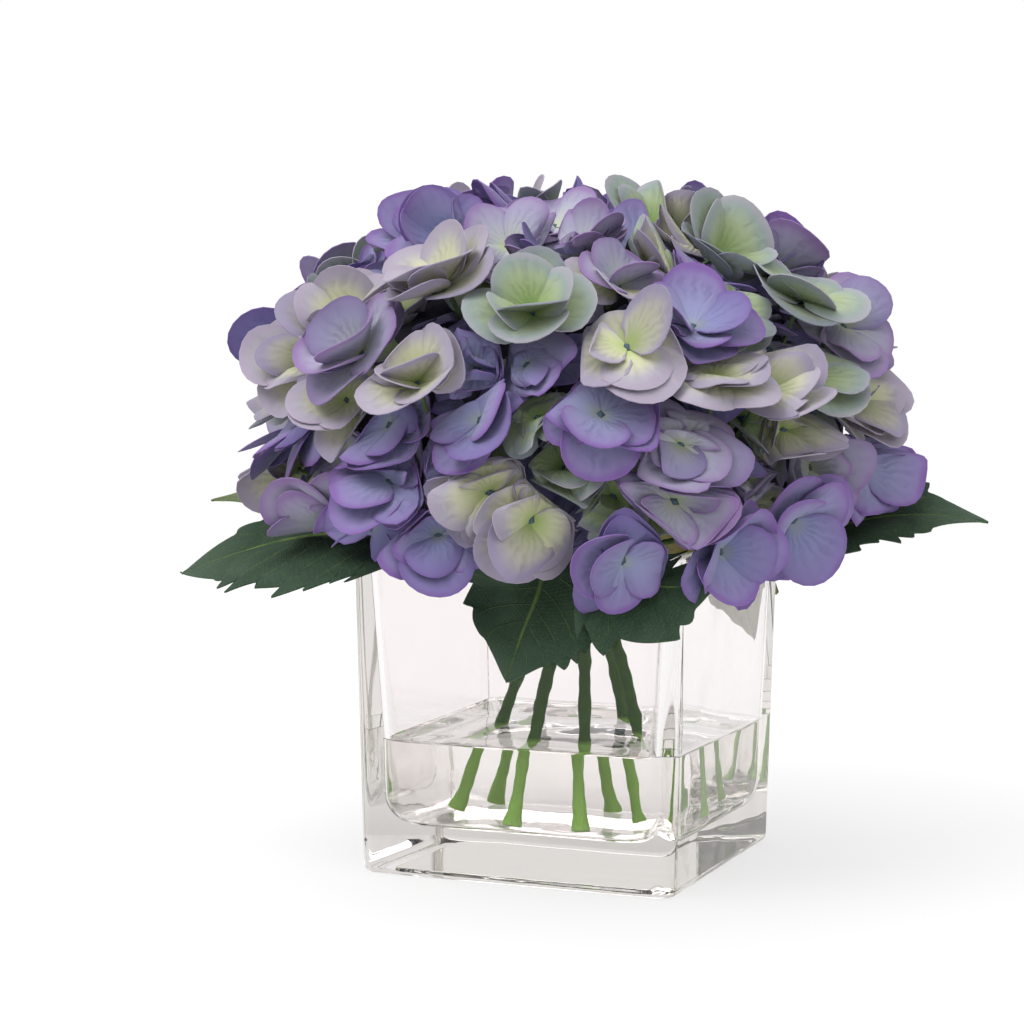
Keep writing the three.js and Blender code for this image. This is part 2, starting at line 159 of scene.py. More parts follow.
HEAD_PLACES = {name: around(turn, HEAD_RADIUS, HEAD_Z) for name, turn in HEAD_TURNS.items()}
HEAD_PLACES["top"] = np.array([0.0, 0.0, TOP_HEAD_Z])


def read_off(line, length, places):
    """Points of a line at the given lengths along it, evenly between its own points."""
    return np.stack([np.interp(places, length, line[:, axis]) for axis in range(3)], axis=-1)


def smooth_path(corners, count, dense=60, glance=0.4):
    """A centripetal Catmull-Rom curve through the corners: between each two of them a cubic whose end
    slopes come from the neighbours, with steps as long as the root of the distances. It is sampled
    densely, and then count points are read off at equal lengths, or points at given shares. A direction
    is the line between the points a glance behind and ahead. Returns points and directions."""
    corners = np.asarray(corners, float)
    ends = [2 * corners[:1] - corners[1:2], 2 * corners[-1:] - corners[-2:-1]]
    all_points = np.concatenate([ends[0], corners, ends[1]])
    step = np.linalg.norm(np.diff(all_points, axis=0), axis=1)[:, None] ** 0.5
    before, start, end, after = all_points[:-3], all_points[1:-2], all_points[2:-1], all_points[3:]
    first, middle, last = step[:-2], step[1:-1], step[2:]
    slope_in = (start - before) / first - (end - before) / (first + middle) + (end - start) / middle
    slope_out = (end - start) / middle - (after - start) / (middle + last) + (after - end) / last
    slope_in = (slope_in * middle)[:, None]
    slope_out = (slope_out * middle)[:, None]
    start, end = start[:, None], end[:, None]
    t = np.linspace(0, 1, dense)[None, :, None]
    square = -3 * start + 3 * end - 2 * slope_in - slope_out
    cube = 2 * start - 2 * end + slope_in + slope_out
    line = (start + slope_in * t + square * t**2 + cube * t**3).reshape(-1, 3)
    length = np.concatenate([[0], np.cumsum(np.linalg.norm(np.diff(line, axis=0), axis=1))])
    shares = np.linspace(0, 1, count) if np.isscalar(count) else np.asarray(count)
    wanted = shares * length[-1]
    ahead = read_off(line, length, wanted + glance)
    behind = read_off(line, length, wanted - glance)
    return read_off(line, length, wanted), unit(ahead - behind)


# Meshes


def grid_faces(rows, columns, ring=False):
    """Four-sided faces between neighbouring points of a grid. A ring also joins its last column to its
    first."""
    index = np.arange(rows * columns).reshape(rows, columns)
    if ring:
        index = np.concatenate([index, index[:, :1]], axis=1)
    corners = [index[:-1, :-1], index[:-1, 1:], index[1:, 1:], index[1:, :-1]]
    return np.stack(corners, axis=-1).reshape(-1, 4)


def shell(middle, thick):
    """Closed thin shells around a stack of sheets: the points of every sheet pushed both ways along its
    own normals by half the thickness, and a strip all round that joins the two faces.
    Returns the points and the four-sided faces."""
    sheets, rows, columns, _ = middle.shape
    normal = unit(np.cross(np.gradient(middle, axis=2), np.gradient(middle, axis=1)))
    push = normal * np.broadcast_to(thick, middle.shape[:3])[..., None] / 2
    points = np.stack([middle + push, middle - push], axis=1)
    index = np.arange(2 * rows * columns).reshape(2, rows, columns)
    upper = grid_faces(rows, columns)
    lower = (upper + rows * columns)[:, ::-1]
    rim = [index[:, 0, :-1], index[:, :-1, -1], index[:, -1, :0:-1], index[:, ::-1, 0]]
    rim = np.concatenate(rim, axis=1)
    following = np.concatenate([rim[:, 1:-1], rim[:, -1:]], axis=1)
    strip = np.stack([following[0], rim[0, :-1], rim[1, :-1], following[1]], axis=-1)
    one = np.concatenate([upper, lower, strip])
    faces = one[None] + (np.arange(sheets) * 2 * rows * columns)[:, None, None]
    return points.reshape(-1, 3), faces.reshape(-1, 4)


def tube(path, direction, radius, sides, reference):
    """Rings around a path: each ring's two axes are the path's direction crossed with a fixed reference
    and with that again. The radius may change along and around. Both ends are closed by a point."""
    side = unit(np.cross(direction, reference))
    other = np.cross(direction, side)
    angle = np.linspace(0, 2 * np.pi, sides, endpoint=False)
    ring = side[:, None] * np.cos(angle)[None, :, None] + other[:, None] * np.sin(angle)[None, :, None]
    rings = path[:, None] + ring * np.broadcast_to(radius, (len(path), sides))[..., None]
    return capped(rings, path[0], path[-1])


def capped(rings, first, last):
    """A closed skin over a stack of rings, with a point in the middle of each end. The rings turn
    anticlockwise as seen from the last end."""
    rows, sides, _ = rings.shape
    points = np.concatenate([rings.reshape(-1, 3), [first], [last]])
    here = np.arange(sides)
    after = (here + 1) % sides
    low = np.stack([np.full(sides, rows * sides), after, here], axis=-1)
    top = (rows - 1) * sides
    high = np.stack([np.full(sides, rows * sides + 1), here + top, after + top], axis=-1)
    return points, [grid_faces(rows, sides, ring=True), low, high]


def join(parts):
    """Several meshes as one: their points in a row, and their faces counted on from each start."""
    points = []
    faces = []
    start = 0
    for part_points, part_faces in parts:
        points.append(part_points)
        for group in part_faces if isinstance(part_faces, list) else [part_faces]:
            faces.append(group + start)
        start += len(part_points)
    return np.concatenate(points), faces


def add_piece(
    name, points, faces, materials, stands_for=(), marks=None, face_material=None, crease=55
):
    """A mesh of the given points and faces, smooth except where faces meet more sharply than crease.
    Marks are numbers or pairs of numbers for every point. The piece stands for its CAD nodes."""
    groups = faces if isinstance(faces, list) else [faces]
    corners = np.concatenate([group.reshape(-1) for group in groups])
    counts = np.concatenate([np.full(len(group), group.shape[1]) for group in groups])
    starts = np.concatenate([[0], np.cumsum(counts)[:-1]])
    mesh = bpy.data.meshes.new(name)
    mesh.vertices.add(len(points))
    mesh.vertices.foreach_set("co", (np.asarray(points) * MM).astype(np.float32).reshape(-1))
    mesh.loops.add(len(corners))
    mesh.loops.foreach_set("vertex_index", corners.astype(np.int32))
    mesh.polygons.add(len(counts))
    mesh.polygons.foreach_set("loop_start", starts.astype(np.int32))
    mesh.polygons.foreach_set("loop_total", counts.astype(np.int32))
    for material in materials:
        mesh.materials.append(material)
    if face_material is not None:
        mesh.polygons.foreach_set("material_index", face_material.astype(np.int32))
    for mark, values in (marks or {}).items():
        values = np.asarray(values, np.float32)
        if values.ndim == 2:
            layer = mesh.uv_layers.new(name=mark)
            layer.data.foreach_set("uv", values[corners].reshape(-1))
        else:
            layer = mesh.attributes.new(mark, "FLOAT", "POINT")
            layer.data.foreach_set("value", values)
    mesh.update(calc_edges=True)
    mesh.validate()
    mesh.shade_smooth()
    mesh.set_sharp_from_angle(angle=np.radians(crease))
    piece = bpy.data.objects.new(name, mesh)
    bpy.context.scene.collection.objects.link(piece)
    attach(piece, "root")
    if stands_for:
        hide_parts(*stands_for)
    return piece


# Shaders


def colour(red, green, blue):
    """A colour as seen on a screen, from 0 to 255, turned into the linear values that a shader takes."""
    seen = np.array([red, green, blue]) / 255
    linear = np.where(seen <= 0.04045, seen / 12.92, ((seen + 0.055) / 1.055) ** 2.4)
    return (*linear.tolist(), 1.0)


class Wire:
    """One output of a node. The usual operators between wires and numbers add Math nodes."""

    def __init__(self, finish, socket):
        self.finish = finish
        self.socket = socket

    def out(self, name):
        """Another output of the same node."""
        return Wire(self.finish, self.socket.node.outputs[name])

    def math(self, operation, *others):
        """A Math node of this value and the others."""
        sockets = {place: value for place, value in enumerate((self, *others))}
        return self.finish.node("ShaderNodeMath", {"operation": operation}, sockets)

    def __add__(self, other):
        return self.math("ADD", other)

    def __radd__(self, other):
        return self.math("ADD", other)

    def __sub__(self, other):
        return self.math("SUBTRACT", other)

    def __rsub__(self, other):
        return self.finish.node("ShaderNodeMath", {"operation": "SUBTRACT"}, {0: other, 1: self})

    def __mul__(self, other):
        return self.math("MULTIPLY", other)

    def __rmul__(self, other):
        return self.math("MULTIPLY", other)

    def __pow__(self, other):
        return self.math("POWER", other)

    def __abs__(self):
        return self.math("ABSOLUTE")

    def largest(self, other):
        """The larger of two values."""
        return self.math("MAXIMUM", other)

    def sine(self):
        """The sine of an angle in radians."""
        return self.math("SINE")

    def between(self, low, high):
        """0 below low, 1 above high, and an even slope between them."""
        sockets = {"Value": self, "From Min": low, "From Max": high}
        return self.finish.node("ShaderNodeMapRange", {"clamp": True}, sockets)


class Nodes:
    """The nodes of one material or world."""

    def __init__(self, tree):
        self.tree = tree

    def node(self, kind, settings=None, sockets=None):
        """Adds a node: its settings, with a ramp's stops as (place, colour), and then the values or links
        of its sockets. Returns its first output."""
        node = self.tree.nodes.new(kind)
        for name, value in (settings or {}).items():
            if name == "stops":
                ramp = node.color_ramp
                while len(ramp.elements) < len(value):
                    ramp.elements.new(0.5)
                for element, (place, shade) in zip(ramp.elements, value):
                    element.position = place
                    element.color = shade
            else:
                setattr(node, name, value)
        for name, value in (sockets or {}).items():
            if isinstance(value, Wire):
                self.tree.links.new(value.socket, node.inputs[name])
            else:
                node.inputs[name].default_value = value
        return Wire(self, next(output for output in node.outputs if output.enabled))

    def mix(self, share, first, second, blend="MIX"):
        """Two colours mixed by a share."""
        node = self.tree.nodes.new("ShaderNodeMix")
        node.data_type = "RGBA"
        node.blend_type = blend
        for place, value in ((0, share), (6, first), (7, second)):
            if isinstance(value, Wire):
                self.tree.links.new(value.socket, node.inputs[place])
            else:
                node.inputs[place].default_value = value
        return Wire(self, node.outputs[2])

    def dot(self, vector, fixed):
        """How far a vector points along a fixed one."""
        settings = {"operation": "DOT_PRODUCT"}
        return self.node("ShaderNodeVectorMath", settings, {0: vector, 1: fixed}).out("Value")


class Finish(Nodes):
    """One material and its nodes."""

    def __init__(self, name):
        self.material = bpy.data.materials.new(name)
        self.material.use_nodes = True
        super().__init__(self.material.node_tree)
        self.tree.nodes.clear()

    def noise(self, place, scale, detail=2.0):
        """Soft noise from 0 to 1 over a place, with scale in bumps per metre."""
        sockets = {"Vector": place, "Scale": scale, "Detail": detail, "Roughness": 0.5}
        return self.node("ShaderNodeTexNoise", {}, sockets)

    def place(self):
        """Where a point is on the piece, in metres."""
        return self.node("ShaderNodeTexCoord").out("Object")

    def mark(self, name):
        """A number that the mesh gives to each point."""
        return self.node("ShaderNodeAttribute", {"attribute_name": name}).out("Fac")

    def map(self, name):
        """The two numbers of the piece's own map, across and along, each from 0 to 1."""
        pair = self.node("ShaderNodeUVMap", {"uv_map": name})
        split = self.node("ShaderNodeSeparateXYZ", {}, {"Vector": pair})
        return split.out("X"), split.out("Y")

    def bump(self, height, depth, strength=1.0):
        """A normal from a height map, with the depth in metres of its full range."""
        sockets = {"Height": height, "Distance": depth, "Strength": strength}
        return self.node("ShaderNodeBump", {}, sockets)

    def surface(self, **sockets):
        """The main shader, wired to the output. Spaces in its sockets' names are written as underlines."""
        named = {name.replace("_", " "): value for name, value in sockets.items()}
        self.show(self.node("ShaderNodeBsdfPrincipled", {}, named))

    def show(self, shader, inside=None):
        """Wires a shader, and one for the inside where there is one, to the material's output."""
        output = self.tree.nodes.new("ShaderNodeOutputMaterial")
        self.tree.links.new(shader.socket, output.inputs["Surface"])
        if inside:
            self.tree.links.new(inside.socket, output.inputs["Volume"])


# Petal cloth: for each tone, places from the claw to the rim and the colours there
PETAL_TONES = {
    "violet": [
        (0.0, 150, 160, 160), (0.22, 144, 148, 184), (0.62, 134, 131, 172), (0.88, 130, 117, 165),
        (1.0, 120, 90, 154),
    ],
    "lilac": [
        (0.0, 172, 184, 140), (0.25, 172, 176, 178), (0.6, 158, 156, 178), (0.86, 148, 138, 168),
        (1.0, 134, 108, 156),
    ],
    "cream": [
        (0.0, 165, 186, 108), (0.28, 190, 196, 150), (0.6, 190, 189, 166), (0.84, 166, 160, 172),
        (1.0, 160, 150, 168),
    ],
    "green": [
        (0.0, 120, 150, 78), (0.3, 146, 166, 112), (0.65, 152, 166, 134), (0.88, 138, 152, 146),
        (1.0, 150, 150, 158),
    ],
}
TONES = list(PETAL_TONES)


def petal_cloth(tone):
    """Dyed polyester: colour from the claw to the rim, as the mesh's map runs, radiating veins pressed in
    as the square of a sine across, and a fine weave. Petals with a low shade mark are darkened towards
    violet: at random on the outer florets, and as painted shade on the inner ones."""
    finish = Finish(f"petal_{tone}")
    across, along = finish.map("petal")
    place = finish.place()
    shade = finish.mark("shade")
    side = abs(across * 2 - 1)
    edge = along.largest(side**5 * along.between(0.0, 0.5))
    drift = finish.noise(place, 90.0) - 0.5
    stops = [(share, colour(*shown)) for share, *shown in PETAL_TONES[tone]]
    towards_rim = edge + drift * 0.22 + (shade - 0.5) * 0.12
    dyed = finish.node("ShaderNodeValToRGB", {"stops": stops}, {0: towards_rim})
    wander = finish.noise(place, 260.0) - 0.5
    veins = abs((across * 30 + wander * 5.0).sine()) ** 2
    strong = finish.noise(place, 130.0).between(0.35, 0.7)
    vein_share = veins * strong * along.between(0.05, 0.3) * (1 - along.between(0.7, 0.98))
    veined = finish.mix(vein_share * 0.26, dyed, colour(120, 118, 150), "MULTIPLY")
    # Petals whose shade mark is under one half are multiplied by up to half towards violet: random tone on
    # outer florets, painted shade on inner florets
    shaded = finish.mix(shade.between(0.5, 0.0) * 0.5, veined, colour(158, 148, 200), "MULTIPLY")
    weave = finish.noise(place, 3200.0, 1.0)
    height = 1 - vein_share * 0.8 + weave * 0.08
    finish.surface(
        Base_Color=shaded,
        Roughness=0.72,
        Specular_IOR_Level=0.25,
        Sheen_Weight=0.15,
        Sheen_Roughness=0.5,
        Subsurface_Weight=0.12,
        Subsurface_Radius=(0.9, 0.8, 1.0),
        Subsurface_Scale=0.002,
        Normal=finish.bump(height, 0.0003, 0.8),
    )
    return finish.material


def mottled(name, first, second, scale, detail, roughness, depth, sharp=(0, 1)):
    """A matt finish of two colours, mixed by soft noise that also makes its surface uneven."""
    finish = Finish(name)
    grains = finish.noise(finish.place(), scale, detail)
    tinted = finish.mix(grains.between(*sharp), first, second)
    finish.surface(Base_Color=tinted, Roughness=roughness, Normal=finish.bump(grains, depth))
    return finish.material


def bud_cloth():
    """Dark blue-green beads with paler grains."""
    return mottled(
        "floret_bud", colour(44, 62, 84), colour(88, 112, 120), scale=1500.0, detail=2.0,
        roughness=0.6, depth=0.0003, sharp=(0.35, 0.7),
    )


def twig_plastic():
    """Pale green twigs inside the heads, mottled with a darker green."""
    return mottled(
        "floret_twig", colour(86, 110, 60), colour(52, 70, 44), scale=300.0, detail=3.0,
        roughness=0.6, depth=0.0003,
    )


def core_painted_shade():
    """The middle of the bunch behind the florets, painted dark grey and violet as painted shade for the
    bunch's shaded inside.
    """
    return mottled(
        "bunch_core", colour(58, 60, 62), colour(40, 36, 62), scale=120.0, detail=4.0,
        roughness=0.9, depth=0.002,
    )


def leaf_cloth(name, blade, vein, patch):
    """Printed cloth leaf: a fine net of threads, a raised middle rib and slanting side veins, paler than
    the blade, and soft paler patches between them."""
    finish = Finish(name)
    across, along = finish.map("leaf")
    place = finish.place()
    side = abs(across * 2 - 1)
    rib = 1 - side.between(0.012, 0.04)
    wander = (finish.noise(place, 70.0) - 0.5) * 0.12
    broken = finish.noise(place, 210.0, 2.0).between(0.35, 0.6)
    slant = (along * SIDE_VEINS - side * VEIN_SLANT + wander).math("PINGPONG", 0.5)
    veins = (1 - slant.between(0.012, 0.05)) * (1 - side.between(0.6, 0.95))
    small = (along * 44 + side * 9 + wander * 20).math("PINGPONG", 0.5)
    net = 1 - small.between(0.02, 0.16)
    threads = finish.noise(place, 1400.0, 2.0)
    patches = finish.noise(place, 55.0, 3.0).between(0.4, 0.75)
    # Paler in soft patches, and much paler towards the tip
    paler_patches_and_tip = finish.mix((patches * 0.5).largest(along.between(0.7, 0.95) * 0.9), blade, patch)
    speckled = finish.mix(threads.between(0.5, 0.75) * 0.22, paler_patches_and_tip, vein)
    netted = finish.mix(net * broken * 0.08, speckled, vein)
    veined = finish.mix((veins * broken * 0.5).largest(rib * (0.45 + broken * 0.4)), netted, vein)
    height = rib * 1.0 + veins * 0.8 + net * 0.25 + threads * 0.25
    finish.surface(
        Base_Color=veined,
        Roughness=0.66,
        Specular_IOR_Level=0.16,
        Sheen_Weight=0.04,
        Normal=finish.bump(height, 0.0006, 0.8),
    )
    return finish.material


def stem_plastic():
    """Green stem, ribbed lengthwise, with paler ridges and darker hollows. Below the water line the green
    is painted much brighter and the ridges paler, as painted light where the stem is seen through water and
    glass.
    """
    finish = Finish("stem_ribbed")
    place = finish.place()
    across = finish.map("stem")[0]
    ridges = abs((across * 50.0).sine())
    mottle = finish.noise(place, 220.0, 3.0)
    fibres = finish.noise(place, 900.0, 2.0)
    height = finish.node("ShaderNodeSeparateXYZ", {}, {"Vector": place}).out("Z")
    # Below the water line: the stem's green is painted brighter and its ridges paler there, as painted
    # light
    under_water = 1 - height.between((WATER_Z - 1.5) * MM, (WATER_Z + 1) * MM)
    dry_green = finish.mix(mottle, colour(44, 92, 14), colour(76, 126, 28))
    painted_lit_green = finish.mix(mottle, colour(148, 224, 84), colour(198, 244, 124))
    base = finish.mix(under_water, dry_green, painted_lit_green)
    ridged = finish.mix(ridges * (0.05 + 0.2 * under_water), base, colour(150, 196, 90))
    finish.surface(
        Base_Color=ridged,
        Roughness=0.6,
        Specular_IOR_Level=0.12,
        Normal=finish.bump(ridges * 0.5 + fibres * 0.5, 0.0005),
    )
    return finish.material


def clear_glass(name, tint, ior, ripple, taken, density):
    """A clear solid: full transmission, a slow unevenness of its surface, and a faint absorption that
    greys what is seen through its thick parts. Its shadow lets light by."""
    finish = Finish(name)
    place = finish.place()
    uneven = finish.noise(place, ripple, 1.0)
    clear = finish.node(
        "ShaderNodeBsdfPrincipled",
        {},
        {
            "Base Color": tint,
            "Roughness": 0.0,
            "IOR": ior,
            "Specular Tint": MIRROR_TINT,
            "Transmission Weight": 1.0,
            "Normal": finish.bump(uneven, 0.0004),
        },
    )
    lit = finish.node("ShaderNodeBsdfTransparent", {}, {"Color": tint})
    shadow = finish.node("ShaderNodeLightPath").out("Is Shadow Ray")
    mixed = finish.node("ShaderNodeMixShader", {}, {0: shadow, 1: clear, 2: lit})
    inside = finish.node("ShaderNodeVolumeAbsorption", {}, {"Color": taken, "Density": density})
    finish.show(mixed, inside)
    return finish.material


# Vase and water


def outer_half(z):
    """Half width of the outside: half the foot, and a little more with height."""
    return FOOT_HALF + FLARE * z


def inner_half(z):
    """Half width of the inside: the wall grows from the rim down to the water."""
    share = np.minimum((VASE_HEIGHT - z) / (VASE_HEIGHT - WATER_Z), 1)
    return outer_half(z) - RIM_WALL - (WATER_WALL - RIM_WALL) * share


def square_rings(half, corner, z, steps=8, hold=0.5):
    """Square rings with round corners: each corner's centre lies half less corner from the middle, and
    its arc turns a quarter about it. A point is held on each side just beyond every arc's ends, so that
    the flat sides stay flat in shading."""
    half, corner, z = (np.asarray(value, float)[:, None] for value in (half, corner, z))
    turn = np.linspace(0, np.pi / 2, steps + 1)
    turn = np.concatenate([[0], turn, [np.pi / 2]])[None]
    x = half - corner + corner * np.cos(turn)
    y = half - corner + corner * np.sin(turn)
    x[:, -1] -= hold
    y[:, 0] -= hold
    height = np.broadcast_to(z, x.shape)
    rings = []
    for side in range(4):
        cosine = np.cos(side * np.pi / 2)
        sine = np.sin(side * np.pi / 2)
        rings.append(np.stack([x * cosine - y * sine, x * sine + y * cosine, height], axis=-1))
    return np.concatenate(rings, axis=1)


def arc_rows(half, z, radius, start, end, count):
    """Rows of an edge that is rounded by a quarter circle: half width and height turn about a centre."""
    angle = np.radians(np.linspace(start, end, count))
    return [(half + radius * np.cos(a), CORNER, z + radius * np.sin(a)) for a in angle]


def bottom_rows(half, z, start, end):
    """Rows of the quarter circle between the inside wall and the floor, which turns about a centre that
    lies its radius in from the wall and up from the floor."""
    angle = np.radians(np.linspace(start, end, 10))
    inwards = BOTTOM_ROUND * (1 - np.sin(angle))
    upwards = BOTTOM_ROUND * (1 - np.cos(angle))
    return [(half - inward, CORNER_INSIDE, z + up) for inward, up in zip(inwards, upwards)]


def glass_rows():
    """The vase's section from the middle of its underside, out, up the outside and down the inside."""
    foot = outer_half(0)
    rim = outer_half(VASE_HEIGHT)
    rounded = FLOOR_Z + BOTTOM_ROUND
    flat = (FLAT_INNER, FLAT_OUTER, RECESS_HALF - 1, RECESS_HALF)
    rows = [(half, CORNER, RECESS_DEPTH) for half in flat]
    rows += [(RECESS_HALF + out, CORNER, z) for out, z in RECESS_EDGE]
    rows += [(foot - FOOT_ROUND - HELD_BY, CORNER, 0)]
    rows += arc_rows(foot - FOOT_ROUND, FOOT_ROUND, FOOT_ROUND, -90, 0, 7)
    rows += [(outer_half(z), CORNER, z) for z in (4, 60, VASE_HEIGHT - 3)]
    rows += arc_rows(rim - RIM_ROUND, VASE_HEIGHT - RIM_ROUND, RIM_ROUND, 0, 90, 7)
    inside = rim - RIM_WALL + RIM_ROUND_INSIDE
    rows += arc_rows(inside, VASE_HEIGHT - RIM_ROUND_INSIDE, RIM_ROUND_INSIDE, 90, 180, 6)
    rows += [(inner_half(z), CORNER_INSIDE, z) for z in (VASE_HEIGHT - 3, 80, WATER_Z, rounded + 1)]
    rows += bottom_rows(inner_half(rounded), FLOOR_Z, 90, 0)
    rows += [(FLAT_OUTER, CORNER_INSIDE, FLOOR_Z), (FLAT_INNER, CORNER, FLOOR_Z)]
    return rows


def make_vase(material):
    """The vase's section carried round as square rings."""
    half, corner, z = np.array(glass_rows()).T
    rings = square_rings(half, np.minimum(corner, half - 1), z)
    points, faces = capped(rings, (0, 0, RECESS_DEPTH), (0, 0, FLOOR_Z))
    add_piece("glass_vase", points, faces, [material], ["vase"], crease=80)


def make_water(material):
    """Clear set water: the inside of the vase, carried a hair into the glass so that no air lies between.
    Where it meets the wall it has a raised lip, which falls as an exponential of the distance, and slow
    ripples of crossed sines run over the top."""
    under = FLOOR_Z - WATER_INTO_GLASS
    rounded = FLOOR_Z + BOTTOM_ROUND
    rows = [(FLAT_INNER, CORNER, under), (FLAT_OUTER, CORNER_INSIDE, under)]
    rows += bottom_rows(inner_half(rounded) + WATER_INTO_GLASS, under, 0, 90)
    rows += [(inner_half(z) + WATER_INTO_GLASS, CORNER_INSIDE, z) for z in (rounded + 2, WATER_Z - 2)]
    top = inner_half(WATER_Z)
    rows += [(top + WATER_INTO_GLASS, CORNER_INSIDE, WATER_Z + 0.9 * LIP_HEIGHT)]
    first_wave = len(rows) + CALM_RINGS
    level = WATER_Z - WATER_SUNK
    lip = LIP_HEIGHT * np.exp(-np.array(WATER_RINGS) / LIP_REACH)
    rows += [(top - inward, CORNER_INSIDE, level + rise) for inward, rise in zip(WATER_RINGS, lip)]
    half, corner, z = np.array(rows).T
    rings = square_rings(half, np.minimum(corner, half - 1), z, steps=12)
    x, y = rings[..., 0], rings[..., 1]
    wave = 0.35 * np.sin(x * 0.16 + 0.7) * np.sin(y * 0.13) + 0.22 * np.sin(x * 0.31 - y * 0.22)
    rings[first_wave:, :, 2] += wave[first_wave:]
    points, faces = capped(rings, (0, 0, under), (0, 0, level))
    add_piece("set_water", points, faces, [material], ["water"], crease=80)


# Stems


def stem_corners(name):
    """Foot, half way to the waist, waist, under the head, and the head's middle."""
    foot = np.array([*STEM_FEET[name], STEM_FOOT_Z], float)
    reach = np.hypot(foot[0], foot[1])
    waist = np.array(WAIST, float)
    waist[:2] += WAIST_RADIUS * foot[:2] / reach
    head = HEAD_PLACES[name]
    high = waist + 0.45 * (head - waist) + np.array([0, 0, 4])
    return [foot, (foot + waist) / 2, waist, high, head]


def make_stem(name, index, material):
    """A ribbed tube: its radius swells at a few knuckles, each a bell curve of the length from the foot,
    flares at the cut foot as an exponential, and carries five shallow ribs as a cosine of the angle."""
    path, direction = smooth_path(stem_corners(name), STEM_RINGS)
    share = np.linspace(0, 1, STEM_RINGS)
    length = np.linalg.norm(np.diff(path, axis=0), axis=1).sum()
    down = share * length
    rng = np.random.default_rng(SEED + index)
    knuckles = 12 + np.cumsum(rng.uniform(*KNUCKLE_GAP, KNUCKLES))
    swell = sum(KNUCKLE_SWELL * np.exp(-(((down - knuckle) / KNUCKLE_REACH) ** 2)) for knuckle in knuckles)
    cut = CUT_SWELL * np.exp(-down / CUT_REACH)
    wobble = 0.12 * np.sin(down * 0.9 + index) + 0.1 * np.sin(down * 0.37 + 2 * index)
    angle = np.linspace(0, 2 * np.pi, STEM_SIDES, endpoint=False)
    ribs = RIB_DEPTH * np.cos(STEM_RIBS * angle)
    radius = (STEM_RADIUS - 0.35 + swell + cut + wobble)[:, None] + ribs
    radius[0] *= 0.9
    points, faces = tube(path, direction, radius, STEM_SIDES, (1.0, 0.2, 0.1))
    across = np.tile(np.abs(np.linspace(-1, 1, STEM_SIDES)), STEM_RINGS)
    along = np.repeat(share, STEM_SIDES)
    stem_map = np.concatenate([np.stack([across, along], axis=-1), [[0, 0], [0, 1]]])
    add_piece(
        f"stem_ribbed_{name}", points, faces, [material], [f"stem_{name}"],
        marks={"stem": stem_map}, crease=60,
    )


# Leaves

# Where the stalk passes over the rim, the middle rib out to the tip, the widths of the two halves as seen
# looking outward, the way the upper face looks, how much the sides droop, the stem that carries it, the
# cloth above and below, and the number and depth of the teeth
LEAVES = {
    "left": {
        "over": (-12, -58, 119),
        "rib": [(-25, -67, 120.5), (-50, -71, 120.5), (-77, -72, 117), (-98, -72, 111), (-119, -72, 103.5)],
        "halves": (36, 28), "faces": (0, -0.5, 0.87), "droop": 0, "stem": "left",
        "cloth": ("dark", "dark"), "teeth": (11, 6.5),
    },
    "front": {
        "over": (12, -50, 117),
        "rib": [(15, -62, 116.2), (17, -70, 112.5), (16, -74, 103), (11, -76, 89), (6, -77, 72.5)],
        "halves": (33, 31), "faces": (0, -0.7, 0.7), "droop": 0, "stem": "front",
        "cloth": ("dark", "dark"), "teeth": (9, 4.0),
    },
    "front_right": {
        "over": (34, -61, 119.5),
        "rib": [(41, -75, 116.5), (52, -81, 110.5), (60, -82, 107), (79, -80, 108)],
        "halves": (8, 24), "faces": (0.1, -0.88, 0.47), "droop": 0, "stem": "top",
        "cloth": ("dark", "dark"), "teeth": (6, 8.0),
    },
    "right": {
        "over": (50, -7, 118),
        "rib": [(61, -6, 118.5), (84, 2, 119), (109, 8, 125), (128, 11, 126), (146, 12, 124)],
        "halves": (26, 17), "faces": (0, -0.53, 0.85), "droop": 0.06, "stem": "right",
        "cloth": ("dark", "dark"), "teeth": (11, 4.5),
    },
    "back_right": {
        "over": (25, 50, 118),
        "rib": [(28, 62, 118.5), (30, 70, 113), (33, 74.5, 101), (38, 76, 87), (43, 77, 71)],
        "halves": (26, 26), "faces": (0, 0.7, 0.7), "droop": 0, "stem": "back",
        "cloth": ("dark", "pale"), "teeth": (8, 3.0),
    },
    "back_left": {
        "over": (-50, 21, 118),
        "rib": [(-61, 22, 118.5), (-84, 16, 120), (-108, 8, 125), (-128, 3, 127), (-146, -3, 125)],
        "halves": (22, 28), "faces": (0, -0.4, 0.92), "droop": 0.1, "stem": "back_left",
        "cloth": ("olive", "olive"), "teeth": (11, 3.4),
    },
}


